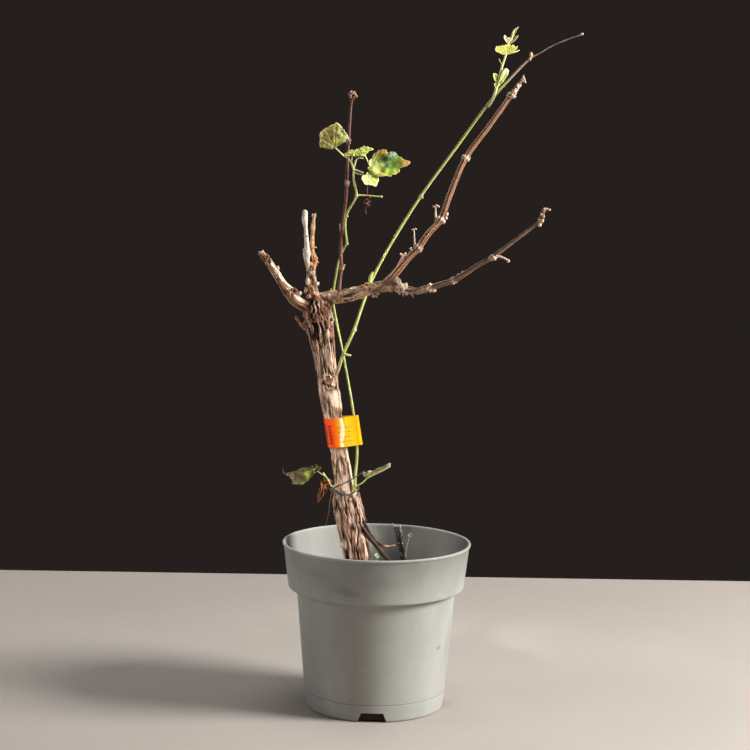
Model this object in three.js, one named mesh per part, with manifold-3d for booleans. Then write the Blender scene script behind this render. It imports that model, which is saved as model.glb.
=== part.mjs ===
// A young grapevine growing in a plastic pot: pot, potting mix, trunk, old wood,
// green shoots, leaves, tie wire and colour band, each a solid of its own.
// Millimetres, +Z up. The origin is the centre of the pot's flat underside.

import * as THREE from 'three';
import { mergeVertices } from 'three/addons/utils/BufferGeometryUtils.js';
import Module from 'manifold-3d';

const wasm = await Module();
wasm.setup();

// ---------- driving dimensions ----------

const SEAT_GAP = 0.3; // clearance between pieces that touch
const KNOT_REACH = 5; // half length of the swelling at a node of a cane

const POT = {
  height: 193,
  rimRadius: 110,
  collarFootRadius: 102.4,
  collarFootHeight: 140,
  shoulderRadius: 93,
  baseRadius: 81,
  ridgeHeight: 20,
  ridgeStep: 0.4,
  wall: 1.8,
  floor: 2.5,
  lip: 3.6,
  edge: 1.4,
  sides: 52,
};
const NOTCH = { count: 4, footWidth: 34, topWidth: 25, height: 11, innerRadius: 71, outerRadius: 90 };
const MIX_LEVEL = 137; // top of the potting mix, just under the collar's inner step
const MIX_CROWN = 1.5; // how far the mix is rounded down at its edge

const BAND = { lean: -9.4, height: 33.5, thickness: 0.5, trunkRadius: 12, shootRadius: 3.7 };
const BAND_PLACE = { trunk: [-49.3, 6, 321.5], shootAcross: 24.8, shootFront: -9.8 };
const WIRE_RADIUS = 1.1;

// Limbs are lists of stops: [x, y, z, radius, swelling of a node there].
const TRUNK = [
  [-14, -2, 124, 24], [-16.8, -2, 140, 19.5], [-19.8, -2, 155, 17],
  [-28.5, 0, 206, 16.1], [-36, 3, 240, 15.8], [-38.9, 4, 256, 12.2],
  [-41.5, 5, 275, 10.8], [-52.4, 6, 336, 10.6], [-55.6, 5, 357, 12],
  [-63.1, 3, 405, 11.9], [-68.6, 1, 440, 14.4], [-71.7, 0, 463, 15],
  [-73, 0, 474, 13], [-73.5, 0, 480, 8],
];
const HEAD_SPLINTER = [[-80, -1, 434, 2.6], [-90, -2.5, 442, 1.7], [-98, -6, 454, 0.8]];
const SHOULDER_NUB = [[-62, -3, 446, 3], [-57, -5, 454, 3], [-56, -5.5, 460, 1.8]];

const ARM = [
  [-78, 1, 472, 8.5], [-67.4, 2.5, 475.8, 8.4], [-50, 1, 478, 7.8], [-35, -5, 481.8, 7.5],
  [-19, -13, 486.5, 7], [-5, -20, 490.8, 6.3], [9, -26, 492.5, 6], [17.4, -30, 493, 8],
  [25, -33, 491.5, 4.6],
];
const LEFT_STUB = [
  [-76, -1, 461, 8], [-87.4, -4, 468.3, 8], [-97.9, -8, 476.4, 8], [-104.4, -11, 485.7, 7.4, 0.8],
  [-112.2, -14, 496.2, 6.3], [-125.3, -18, 515.9, 5.1], [-137, -21, 529.5, 4],
];
const LEFT_STUB_KNOT = [[-106, -13, 479, 3.5], [-103, -18, 485, 3.2]];
const UPRIGHT_STUB = [
  [-75, 1, 464, 9], [-79, 3, 485.6, 8], [-80, 3, 493.2, 6.9], [-80.9, 3, 506.4, 5.4], [-81, 3, 514, 4.8],
];
const UPRIGHT_STUB_LUMP = [[-79, 2, 490, 3.4], [-73.5, 0.5, 494.5, 2.6]];
const GREY_SPUR = [
  [-82.5, 2.5, 508, 3.4], [-85.6, 0, 520.1, 3.6], [-84.9, -1, 530.3, 3.3],
  [-86.4, -3, 548.7, 2.5, 0.5], [-87.1, -4, 561.9, 2.8], [-87.9, -5, 576.3, 2.7],
];
const TAN_SPUR = [
  [-79.5, 4, 509, 3.6], [-76.5, 5.5, 517, 3.6], [-80, 8, 532.7, 2.8],
  [-79.7, 10, 551.2, 2.6], [-78, 13, 572.1, 2.5],
];
const THIN_CANE = [
  [-47, -3, 473, 3.2], [-47.3, -6.5, 486, 2.9], [-46.7, -3, 499, 2.7], [-45.4, 0, 511.6, 2.7, 0.8],
  [-46.4, 3, 528.1, 2.7], [-45.7, 6, 552.7, 2.6], [-44, 8, 565.7, 2.6], [-42.2, 10, 581.5, 2.5],
  [-40.7, 12, 609, 2.5, 0.8], [-39.7, 14, 650, 2.2], [-39.3, 15, 656.4, 2.2, 0.7],
  [-38.3, 16, 677.5, 2.1], [-36.3, 18, 703, 2.2], [-35.4, 18, 706.5, 4.2], [-34.9, 18, 714, 4],
];
const THIN_CANE_BUDS = [
  [[-45.4, 0, 510.5, 1.8], [-41.2, -0.5, 515.5, 0.9]],
  [[-46, 6, 550, 1.3], [-48.2, 7, 562, 1.1]],
  [[-39.4, 15, 656, 1.6], [-36.9, 14.5, 659, 0.9]],
];
const LONG_CANE = [
  [-35, -8, 478, 3.2], [-21, -20, 484.3, 4.5], [-0.7, -31, 493.2, 4.5], [15, -36, 506.2, 4.2],
  [30.4, -36, 525.6, 4], [41.4, -36, 536.8, 3.8, 1.2], [53.7, -34, 554.2, 3.6],
  [66.2, -30, 568.5, 3.5, 1.5], [75.5, -26, 593.9, 3.4], [94, -17, 638.5, 3.2, 1.4],
  [121.5, -9, 677, 3], [144.7, -2, 710.4, 2.8, 1.4],
  [155, 0, 724.9, 2.3], [159.3, 1, 731.5, 2.5],
];
const LONG_CANE_SPURS = [
  [[19, -36, 514, 2.2], [21, -37, 519, 1.8], [25, -37, 528, 1.5]],
  [[21.6, -37, 530.5, 1.2], [25, -37, 527.5, 1.6], [28.5, -37, 531.5, 1.2]],
  [[36.5, -36, 532, 1.8], [33, -38, 537, 1.4]],
  [[38, -36, 535, 1.6], [36.4, -35, 558.7, 1]],
  [[63, -30.5, 566, 1.8], [60.8, -31, 577, 1.2], [60.4, -31, 584.3, 1.5]],
];
const LOW_CANE = [
  [19, -31, 492, 4.2], [31, -36, 489.3, 3.8], [42.1, -40, 488.7, 3.7], [56.1, -45, 493.1, 3.5, 1],
  [68.4, -50, 497.5, 3.3], [80.9, -54, 501.8, 3.1, 0.6], [93, -59, 509.3, 3],
  [108.1, -64, 519.9, 2.6, 0.8], [123.4, -68, 529, 2.6, 1], [138.4, -71, 540.9, 2.2],
  [168.4, -76, 564.6, 2], [174.5, -77, 569.4, 2, 1.2], [178.8, -78, 579, 2.3], [182.6, -79, 583, 1.9],
];
const LOW_CANE_SPURS = [
  [[29, -36, 490, 2.6], [28.6, -36.5, 497.3, 1.6]],
  [[124, -68, 529, 1.7], [131, -70, 530, 1.3], [141, -71, 525.5, 1.1]],
];

const LEFT_SHOOT = [
  [-31, -2, 243, 2.9], [-26.4, -5, 258, 2.5], [-25.9, -5, 270.6, 2.3], [-24.3, -5, 300, 2.1],
  [-29, -4, 343, 2.1], [-35.4, -2, 378.8, 2], [-43.3, 1, 417.9, 1.9], [-47.5, 4, 436.5, 1.9],
  [-51.7, 9, 454, 1.9], [-54.7, 13, 470, 2], [-54.2, 13.5, 486, 1.9], [-51.2, 11.5, 506.4, 1.9],
  [-49.2, 10, 517.5, 1.8], [-46, 9.4, 527, 1.8], [-43, 8, 534, 1.8], [-39.9, 4.5, 539.5, 1.8, 0.5],
  [-41.6, 2.4, 558, 1.8], [-40.8, 2.4, 571.7, 1.8, 0.3], [-38.2, 1.2, 577.6, 1.7],
  [-29.2, -5, 594.8, 1.7, 0.7], [-31, -7, 606, 1.7],
];
const LEFT_SHOOT_TENDRIL = [[-29.2, -5, 595, 1.4], [-14.2, -3, 594.8, 1], [-1, -1, 593.8, 1]];
const RIGHT_SHOOT = [
  [-56, -1, 383, 3], [-49.4, -6, 390.2, 2.9], [-47, -10, 396, 2.6], [-41.3, -14, 414.1, 2.5],
  [-29.7, -13, 441.3, 2.5, 0.5], [-21, -5, 468, 2.4], [-16, -0.5, 482.4, 2.4], [-10.2, 3.5, 498.1, 2.3],
  [8.4, 8, 534.8, 2.2], [44.7, 12, 594.9, 2.1, 0.7], [82.4, 11, 648.4, 2], [123.1, 5, 705.7, 1.9],
  [141.4, 1, 727.2, 1.8], [160.1, -3, 747.2, 1.5], [165.5, -4, 752.2, 1.5, 0.3], [167.2, -4, 757.5, 1.7],
];
const RIGHT_SHOOT_STUBS = [
  [[-41, -14.5, 413.5, 1.7], [-34, -18, 412.5, 1.2]],
  [[118, 6, 698, 1.4], [125.5, 2.5, 707.5, 0.6]],
];
const TIP_TENDRIL = [
  [165, -4, 752.5, 1], [174.7, -5, 757.4, 0.8], [186.5, -8, 764.5, 0.7],
  [199.2, -11, 770.5, 0.7], [222.5, -16, 779.3, 0.9],
];

const UPPER_ROOT = [
  [-25, -6, 231, 1.5], [-17.5, -6, 222, 1.8], [-13, -5, 212, 1.9], [-5.2, -1, 197.7, 1.9],
  [2.4, 3, 189.8, 1.8], [9.7, 7, 184.4, 1.5], [21.3, 12, 185.4, 0.8],
];
const LOWER_ROOT = [
  [-25, -8, 219, 1.8], [-17.3, -9, 208.8, 2.1], [-12.5, -8, 200, 2.1], [-1.8, -4, 187.1, 2.2],
  [12.6, 2, 171.6, 2], [25.7, 8, 156.7, 1.9], [41, 14, 133, 1.9],
];
const CANE_FOOT = [
  [[42.5, 20, 130, 3.2], [33, 22, 169, 1.9], [19.2, 25, 207, 1.1]],
  [[42.5, 20, 130, 3.2], [35.5, 22, 169, 1.9], [26, 25, 207.3, 1.2]],
];

// ---------- solids ----------

function outwardIndex(positions, index) {
  const [a, b, c] = [new THREE.Vector3(), new THREE.Vector3(), new THREE.Vector3()];
  let volume = 0;
  for (let i = 0; i < index.length; i += 3) {
    a.fromArray(positions, 3 * index[i]);
    b.fromArray(positions, 3 * index[i + 1]);
    c.fromArray(positions, 3 * index[i + 2]);
    volume += a.dot(b.cross(c));
  }
  return volume < 0 ? index.reverse() : index;
}

// A closed geometry with its shared vertices merged, as a solid that can be joined and cut.
function solidOf(geometry) {
  const bare = geometry.clone();
  bare.deleteAttribute('normal');
  bare.deleteAttribute('uv');
  const welded = mergeVertices(bare, 1e-3);
  const index = [];
  for (let i = 0; i < welded.index.count; i += 3) {
    const [a, b, c] = [welded.index.getX(i), welded.index.getX(i + 1), welded.index.getX(i + 2)];
    if (a !== b && b !== c && c !== a) index.push(a, b, c);
  }
  const positions = new Float32Array(welded.attributes.position.array);
  const triVerts = new Uint32Array(outwardIndex(positions, index));
  return new wasm.Manifold(new wasm.Mesh({ numProp: 3, vertProperties: positions, triVerts }));
}

function geometryOf(solid) {
  const mesh = solid.getMesh();
  const geometry = new THREE.BufferGeometry();
  geometry.setAttribute('position', new THREE.BufferAttribute(mesh.vertProperties, 3));
  geometry.setIndex(new THREE.BufferAttribute(mesh.triVerts, 1));
  geometry.computeVertexNormals();
  return geometry;
}

function largestPiece(solid) {
  const pieces = solid.decompose();
  return pieces.reduce((best, piece) => (piece.volume() > best.volume() ? piece : best));
}

function joined(...solids) {
  return solids.reduce((whole, piece) => whole.add(piece));
}

// A child piece cut back from its neighbours, so that it seats on them at the given gap.
function seated(child, ...neighbours) {
  return largestPiece(neighbours.reduce((rest, neighbour) => rest.subtract(neighbour), child));
}

// ---------- limbs ----------

// Where the rings of a limb lie: evenly along each stretch, and close to each swollen node.
function ringShares(stops, spacing) {
  const last = stops.length - 1;
  const shares = [];
  for (let i = 0; i < last; i += 1) {
    const length = new THREE.Vector3(...stops[i]).distanceTo(new THREE.Vector3(...stops[i + 1]));
    const near = Math.min(0.4, KNOT_REACH / length);
    const from = stops[i][4] ? near : 0;
    const to = stops[i + 1][4] ? 1 - near : 1;
    const pieces = Math.max(1, Math.round(((to - from) * length) / spacing));
    if (from > 0) shares.push(i / last);
    for (let k = 0; k < pieces; k += 1) shares.push((i + from + ((to - from) * k) / pieces) / last);
    if (to < 1) shares.push((i + to) / last);
  }
  shares.push(1);
  return shares;
}

function radiusAt(stops, share) {
  const last = stops.length - 1;
  const i = Math.min(last - 1, Math.floor(share * last + 1e-9));
  const f = share * last - i;
  const length = new THREE.Vector3(...stops[i]).distanceTo(new THREE.Vector3(...stops[i + 1]));
  const near = Math.min(0.4, KNOT_REACH / length);
  const here = (stops[i][4] ?? 0) * Math.max(0, 1 - f / near);
  const next = (stops[i + 1][4] ?? 0) * Math.max(0, 1 - (1 - f) / near);
  return THREE.MathUtils.lerp(stops[i][3], stops[i + 1][3], f) + here + next;
}

// A tapering round limb through its stops: a closed cylinder bent along a smooth curve.
function limb(stops, { sides = 8, spacing = 12, grow = 0, flutes = 0, fluteDepth = 0 } = {}) {
  const curve = new THREE.CatmullRomCurve3(stops.map(([x, y, z]) => new THREE.Vector3(x, y, z)));
  curve.curveType = 'centripetal';
  const shares = ringShares(stops, spacing);
  const rings = [];
  const side = new THREE.Vector3(0, 1, 0);
  let before = null;
  for (const share of shares) {
    const along = curve.getTangent(share);
    if (before) side.applyQuaternion(new THREE.Quaternion().setFromUnitVectors(before, along));
    side.addScaledVector(along, -side.dot(along)).normalize();
    rings.push({ centre: curve.getPoint(share), across: side.clone(), other: along.clone().cross(side) });
    before = along;
  }
  rings[0].centre.addScaledVector(curve.getTangent(0), -grow);
  rings.at(-1).centre.addScaledVector(curve.getTangent(1), grow);

  const geometry = new THREE.CylinderGeometry(1, 1, 1, sides, shares.length - 1);
  const position = geometry.attributes.position;
  const point = new THREE.Vector3();
  for (let i = 0; i < position.count; i += 1) {
    point.fromBufferAttribute(position, i);
    const row = Math.round((point.y + 0.5) * (shares.length - 1));
    const turn = Math.atan2(point.z, point.x);
    const flute = 1 + fluteDepth * Math.cos(flutes * turn + 9 * shares[row]);
    const radius = (radiusAt(stops, shares[row]) + grow) * flute;
    const { centre, across, other } = rings[row];
    const [u, v] = [point.x * radius, point.z * radius];
    point.copy(centre).addScaledVector(across, u).addScaledVector(other, v);
    position.setXYZ(i, point.x, point.y, point.z);
  }
  return solidOf(geometry);
}

// ---------- leaves ----------

// The outline of a vine leaf as a distance from the stalk's end, with five lobes and toothed edges.
function leafReach(turn, spoke) {
  const heart = 0.6 + 0.34 * Math.cos(turn);
  const lobes = 1 + 0.08 * Math.cos(5 * turn);
  const tooth = spoke % 2 ? 0.96 : 1.04;
  return heart * lobes * tooth;
}

// A thin leaf blade. foot is the stalk's end, tip the leaf's point and face the way that it faces.
// fold lifts both halves about the midrib, and curl bends the point out of the blade's plane.
function blade({ foot, tip, face, width, fold = 0, curl = 0, thickness = 0.8 }) {
  const spokes = 2 * Math.round(5 + width / 6);
  const start = new THREE.Vector3(...foot);
  const along = new THREE.Vector3(...tip).sub(start);
  const length = along.length();
  along.normalize();
  const up = new THREE.Vector3(...face);
  up.addScaledVector(along, -up.dot(along)).normalize();
  const across = up.clone().cross(along);

  const half = thickness / 2;
  const rings = width < 12 ? [0, 1] : [0, 0.55, 1];
  const under = rings.map((share) => new THREE.Vector2(share, -half));
  const over = rings.map((share) => new THREE.Vector2(share, half)).reverse();
  const points = [...under, ...over];
  const geometry = new THREE.LatheGeometry(points, spokes);
  const position = geometry.attributes.position;
  const point = new THREE.Vector3();
  for (let i = 0; i < position.count; i += 1) {
    point.fromBufferAttribute(position, i);
    const share = Math.hypot(point.x, point.z);
    const turn = Math.atan2(point.x, point.z);
    const spoke = Math.round((turn / (2 * Math.PI)) * spokes);
    const reach = share * leafReach(turn, Math.abs(spoke));
    const forward = reach * Math.cos(turn);
    const sideways = reach * Math.sin(turn);
    const lift = point.y + fold * Math.abs(sideways) * 1.4 + curl * forward * forward;
    point.copy(start).addScaledVector(along, forward * length);
    point.addScaledVector(across, sideways * width * 0.74).addScaledVector(up, lift);
    position.setXYZ(i, point.x, point.y, point.z);
  }
  return solidOf(geometry);
}

// A mass of foliage: twigs that branch from one stem, with their leaf blades grown on.
function foliage(twigs, blades) {
  const parts = twigs.map((twig) => limb(twig, { sides: 5, spacing: 10 }));
  return largestPiece(joined(...parts, ...blades.map(blade)));
}

// ---------- pot and mix ----------

function latheOf(profile, sides) {
  const points = profile.map(([radius, height]) => new THREE.Vector2(radius, height));
  return new THREE.LatheGeometry(points, sides).rotateX(Math.PI / 2);
}

function wallRadiusAt(height) {
  return THREE.MathUtils.lerp(POT.baseRadius, POT.shoulderRadius, height / POT.collarFootHeight);
}

function notchTool() {
  const [foot, top] = [NOTCH.footWidth / 2, NOTCH.topWidth / 2];
  const outline = new THREE.Shape();
  outline.moveTo(-foot, -1);
  outline.lineTo(foot, -1);
  outline.lineTo(top + 1, NOTCH.height - 2);
  outline.lineTo(top - 1, NOTCH.height);
  outline.lineTo(1 - top, NOTCH.height);
  outline.lineTo(-top - 1, NOTCH.height - 2);
  const depth = NOTCH.outerRadius - NOTCH.innerRadius;
  return new THREE.ExtrudeGeometry(outline, { depth, bevelEnabled: false }).rotateX(Math.PI / 2);
}

function pot() {
  const { height, rimRadius, wall, edge, lip, floor } = POT;
  const [foot, footHeight, shoulder] = [POT.collarFootRadius, POT.collarFootHeight, POT.shoulderRadius];
  const ridge = wallRadiusAt(POT.ridgeHeight);
  const profile = [
    [0, 0], [POT.baseRadius - edge, 0], [POT.baseRadius, edge],
    [ridge - POT.ridgeStep, POT.ridgeHeight - 1], [ridge, POT.ridgeHeight],
    [shoulder, footHeight], [foot - edge / 2, footHeight], [foot, footHeight + edge / 2],
    [rimRadius - edge, height - 5], [rimRadius, height - lip], [rimRadius, height - edge],
    [rimRadius - edge / 2, height], [rimRadius - lip + 1, height], [rimRadius - lip, height - edge],
    [foot - wall, footHeight + wall + edge], [foot - wall - edge / 2, footHeight + wall],
    [shoulder - wall + edge / 2, footHeight + wall], [shoulder - wall, footHeight + wall - edge / 2],
    [POT.baseRadius - wall, floor + edge], [POT.baseRadius - wall - edge, floor], [0, floor],
  ];
  let solid = solidOf(latheOf(profile, POT.sides));
  for (let i = 0; i < NOTCH.count; i += 1) {
    const tool = notchTool();
    tool.translate(0, -NOTCH.innerRadius, 0).rotateZ((i * 2 * Math.PI) / NOTCH.count);
    solid = solid.subtract(solidOf(tool));
  }
  return solid;
}

function pottingMix() {
  const foot = POT.floor + SEAT_GAP;
  const footRadius = POT.baseRadius - POT.wall - SEAT_GAP;
  const inside = (MIX_LEVEL - MIX_CROWN - foot) / POT.collarFootHeight;
  const topRadius = THREE.MathUtils.lerp(footRadius, POT.shoulderRadius - POT.wall - SEAT_GAP, inside);
  const profile = [
    [0, foot], [footRadius - POT.edge, foot], [footRadius, foot + POT.edge],
    [topRadius, MIX_LEVEL - MIX_CROWN], [topRadius - 2 * MIX_CROWN, MIX_LEVEL], [0, MIX_LEVEL],
  ];
  return solidOf(latheOf(profile, POT.sides));
}

// Everything above the mix, so that what stands on it ends in a flat cut.
function aboveMix() {
  const box = new THREE.BoxGeometry(400, 400, 400);
  return solidOf(box.translate(0, 0, MIX_LEVEL + SEAT_GAP + 200));
}

// ---------- band and tie ----------

// The outline of a belt round two circles: a big one at the origin and a small one.
function beltOutline(outline, bigRadius, smallRadius) {
  const [across, front] = [BAND_PLACE.shootAcross, BAND_PLACE.shootFront];
  const heading = Math.atan2(front, across);
  const spread = Math.acos((bigRadius - smallRadius) / Math.hypot(across, front));
  outline.absarc(0, 0, bigRadius, heading + spread, heading - spread + 2 * Math.PI, false);
  outline.absarc(across, front, smallRadius, heading - spread, heading + spread, false);
  outline.closePath();
  return outline;
}

function colourBand() {
  const { lean, height, thickness, trunkRadius, shootRadius } = BAND;
  const outline = beltOutline(new THREE.Shape(), trunkRadius + thickness, shootRadius + thickness);
  outline.holes.push(beltOutline(new THREE.Path(), trunkRadius, shootRadius));
  const settings = { depth: height, bevelEnabled: false, curveSegments: 9 };
  const geometry = new THREE.ExtrudeGeometry(outline, settings).translate(0, 0, -height / 2);
  geometry.rotateY(THREE.MathUtils.degToRad(lean)).translate(...BAND_PLACE.trunk);
  return solidOf(geometry);
}

function tieWire() {
  const loop = [
    [-47.8, -11, 254], [-42.9, -13, 251], [-36.6, -14, 250.3], [-30.8, -13, 250.7], [-26, -11, 252.9],
    [-22.6, -7, 255], [-22, -1, 256.5], [-25.5, 10, 257], [-33, 17, 257], [-42, 18.5, 256],
    [-50, 14, 254], [-54, 6, 252.5], [-54, -2, 252.5], [-51.5, -7.5, 253.5],
  ];
  const path = new THREE.CatmullRomCurve3(loop.map((place) => new THREE.Vector3(...place)), true);
  const hoop = solidOf(new THREE.TubeGeometry(path, 30, WIRE_RADIUS, 6, true));
  const knot = solidOf(new THREE.SphereGeometry(2.6, 8, 5).translate(-51.5, -7.8, 254.6));
  const end = limb([
    [-51.6, -8, 255, 0.9], [-46.4, -10, 259.5, 0.9], [-39.7, -11, 262.3, 0.9],
    [-24.4, -11.5, 271.3, 0.9], [-14.4, -12, 278, 0.9],
  ], { sides: 6, spacing: 10 });
  const tail = limb([
    [-52, -8.5, 253.5, 0.9], [-54.3, -12, 247, 0.7], [-56.4, -13, 228, 0.7], [-59.1, -13, 213.8, 0.7],
  ], { sides: 6, spacing: 10 });
  return joined(hoop, knot, end, tail);
}

// ---------- foliage ----------

function leftSpray() {
  const twigs = [
    [[-31.1, -7.1, 606.8, 1.6], [-32.8, -8, 616.8, 1.6], [-32.9, -9, 625.5, 1.6], [-38.6, -11, 636.5, 1.4],
      [-43.4, -12, 638.8, 1.2], [-48, -14, 643, 0.9], [-55, -16, 650, 0.8]],
    [[-35.4, -10, 631.5, 1.2], [-34, -12.5, 642.5, 0.9]],
    [[-33, -9, 627, 1.3], [-29.5, -12.5, 635.2, 1.3], [-25.1, -14, 637.3, 1.2], [-21.5, -14.5, 636, 0.8]],
    [[-34.5, -10, 630, 1.2], [-27, -8, 640, 0.9], [-21.5, -8.5, 642, 0.8], [-14.6, -10, 630, 0.8],
      [-6, -11, 629, 0.8]],
    [[-32.8, -8.5, 621, 1.2], [-26.4, -10, 618.5, 0.8], [-18.5, -12, 618, 0.8]],
    [[-16.2, -14.2, 612, 0.7], [-16.2, -13.5, 596.4, 0.6], [-13, -12, 590, 0.6], [-13.6, -12, 585, 0.6],
      [-18.6, -12.5, 586.6, 0.6], [-17.4, -12, 573.7, 0.6]],
  ];
  const blades = [
    { foot: [-54.5, -16, 649], tip: [-52.6, -20, 676], face: [0, -1, -0.2], width: 31, fold: 3 },
    { foot: [-34, -13, 642.4], tip: [-11.7, -14, 648], face: [-0.2, -0.4, 0.9], width: 24, fold: 3 },
    { foot: [-6, -11, 629.5], tip: [31, -15, 633.5], face: [0.1, -1, 0.15], width: 28, fold: -4 },
    { foot: [-18.5, -12, 617.5], tip: [-5, -15, 613.5], face: [0.1, -1, 0.1], width: 17, fold: 2 },
  ];
  return foliage(twigs, blades);
}

function rightSpray() {
  const twigs = [
    [[125.3, 4.5, 708.3, 1.5], [127.3, 0, 714.8, 1.5], [130.6, -4, 726.7, 1.5], [133.8, -7, 743.2, 1.3],
      [136.7, -9, 754.6, 1.2], [139.7, -9, 767.6, 1.1], [144, -9, 775.5, 1.4], [145.8, -8, 786.5, 0.9]],
    [[133.2, -6.5, 741, 1], [129, -9, 750.7, 0.7]],
  ];
  const blades = [
    { foot: [130.4, -4.3, 726.5], tip: [123.9, -8, 734], face: [0.3, -1, 0], width: 9, fold: -1 },
    { foot: [131, -5, 728], tip: [141, -8, 739], face: [0, -1, 0.2], width: 9, fold: 1 },
    { foot: [136.9, -9, 757], tip: [138.5, -24, 767], face: [0, 0.6, 1], width: 26, fold: 4 },
    { foot: [139.8, -9.2, 767.5], tip: [134.6, -12, 777], face: [0.3, -1, 0], width: 6, fold: 1 },
    { foot: [140.5, -9, 768.5], tip: [150, -7, 778], face: [-0.3, -1, 0.3], width: 5, fold: 1 },
  ];
  return foliage(twigs, blades);
}

function lowLeftLeaf() {
  const twigs = [
    [[-46, 0, 255, 1.7], [-53.5, -4, 258.6, 1.5], [-57, -5, 264.1, 1.2], [-63.4, -7, 274.5, 1]],
    [[-60.2, -6, 269, 1], [-69.2, -9, 275.2, 0.8], [-77, -10.3, 278.6, 0.8]],
  ];
  const blades = [
    { foot: [-76, -10.3, 279], tip: [-109.5, -16, 277], face: [0, -0.35, 0.94], width: 25, fold: -12 },
  ];
  return foliage(twigs, blades);
}

function lowRightLeaf() {
  const twigs = [[[-30, -4, 249, 1.6], [-25, -9.6, 258, 1.1], [-11.5, -12, 269.4, 0.9], [-5, -13, 274, 0.8]]];
  const blades = [
    { foot: [-9, -12.4, 271.3], tip: [13.6, -18, 288], face: [-0.5, -0.1, 0.8], width: 17, fold: 3 },
  ];
  return foliage(twigs, blades);
}

function deadLeaf() {
  return limb([[-57.6, -2.6, 262.3, 0.9], [-61.5, -0.5, 258, 3], [-65.5, -2, 250, 4], [-68.4, -3, 240.5, 1.4]],
    { sides: 7, spacing: 6 });
}

function footShoot() {
  const twigs = [[[34, 21, 168, 0.9], [35.4, 20, 181, 0.8], [38.4, 20, 193.5, 0.7], [39.2, 20, 196, 0.7]]];
  const blades = [
    { foot: [38.4, 19.8, 193.5], tip: [40.6, 18.8, 199.5], face: [0, -1, 0.2], width: 5.5, fold: 1 },
  ];
  return foliage(twigs, blades);
}

// ---------- the plant ----------

const vine = new THREE.Group();

function add(name, solid, { color, roughness = 0.85, metalness = 0 }) {
  const material = new THREE.MeshStandardMaterial({ color, roughness, metalness });
  const mesh = new THREE.Mesh(geometryOf(solid), material);
  mesh.name = name;
  vine.add(mesh);
}

// A limb with its side pieces joined on, and the same limb grown by the seat gap.
function limbPair(stops, sidePieces = [], options = {}) {
  const build = (grow) => {
    const main = limb(stops, { ...options, grow });
    return joined(main, ...sidePieces.map((piece) => limb(piece, { sides: 6, spacing: 12, grow })));
  };
  return { solid: build(0), grown: build(SEAT_GAP) };
}

const trunkShape = { sides: 16, spacing: 18, flutes: 5, fluteDepth: 0.03 };
const trunk = limbPair(TRUNK, [HEAD_SPLINTER, SHOULDER_NUB], trunkShape);
const arm = limbPair(ARM, [], { sides: 10, spacing: 13 });
const leftStub = limbPair(LEFT_STUB, [LEFT_STUB_KNOT], { sides: 10, spacing: 12 });
const uprightStub = limbPair(UPRIGHT_STUB, [UPRIGHT_STUB_LUMP], { sides: 10, spacing: 12 });
const greySpur = limbPair(GREY_SPUR);
const tanSpur = limbPair(TAN_SPUR);
const thinCane = limbPair(THIN_CANE, THIN_CANE_BUDS, { sides: 7, spacing: 20 });
const longCane = limbPair(LONG_CANE, LONG_CANE_SPURS, { sides: 7, spacing: 20 });
const lowCane = limbPair(LOW_CANE, LOW_CANE_SPURS, { sides: 7, spacing: 20 });
const leftShoot = limbPair(LEFT_SHOOT, [LEFT_SHOOT_TENDRIL], { sides: 6, spacing: 18 });
const rightShoot = limbPair(RIGHT_SHOOT, RIGHT_SHOOT_STUBS, { sides: 6, spacing: 20 });
const upperRoot = limbPair(UPPER_ROOT);
const lowerRoot = limbPair(LOWER_ROOT);
const caneFoot = limbPair(CANE_FOOT[0], [CANE_FOOT[1]]);

const plastic = { color: 0x9c9d97, roughness: 0.6 };
const earth = { color: 0x2b211a, roughness: 1 };
const bark = { color: 0x8a6a58, roughness: 0.95 };
const stripped = { color: 0xb49a86, roughness: 0.85 };
const greyWood = { color: 0xb9b2a8, roughness: 0.85 };
const tanWood = { color: 0xb07a55, roughness: 0.85 };
const cane = { color: 0x7b4f3a, roughness: 0.7 };
const green = { color: 0x93a648, roughness: 0.6 };
const leaf = { color: 0x7f9a3e, roughness: 0.6 };
const dryLeaf = { color: 0x7a4a24, roughness: 0.95 };
const darkRoot = { color: 0x3a2a22, roughness: 0.95 };
const dryTendril = { color: 0x6f4632, roughness: 0.9 };

const ground = aboveMix();
add('pot', pot(), plastic);
add('potting_mix', pottingMix(), earth);
add('trunk', trunk.solid.intersect(ground), bark);
add('arm', seated(arm.solid, trunk.grown), bark);
add('left_stub', seated(leftStub.solid, trunk.grown, arm.grown), stripped);
add('upright_stub', seated(uprightStub.solid, trunk.grown, arm.grown, leftStub.grown), bark);
add('grey_spur', seated(greySpur.solid, uprightStub.grown), greyWood);
add('tan_spur', seated(tanSpur.solid, uprightStub.grown, greySpur.grown), tanWood);
add('thin_cane', seated(thinCane.solid, arm.grown), cane);
add('long_cane', seated(longCane.solid, arm.grown), cane);
add('low_cane', seated(lowCane.solid, arm.grown), cane);
add('left_shoot', seated(leftShoot.solid, trunk.grown, arm.grown, thinCane.grown), green);
add('right_shoot', seated(rightShoot.solid, trunk.grown, arm.grown), green);
add('tip_tendril', seated(limb(TIP_TENDRIL, { sides: 6 }), rightShoot.grown), dryTendril);
add('left_spray', seated(leftSpray(), leftShoot.grown), leaf);
add('right_spray', seated(rightSpray(), rightShoot.grown), leaf);

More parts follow.
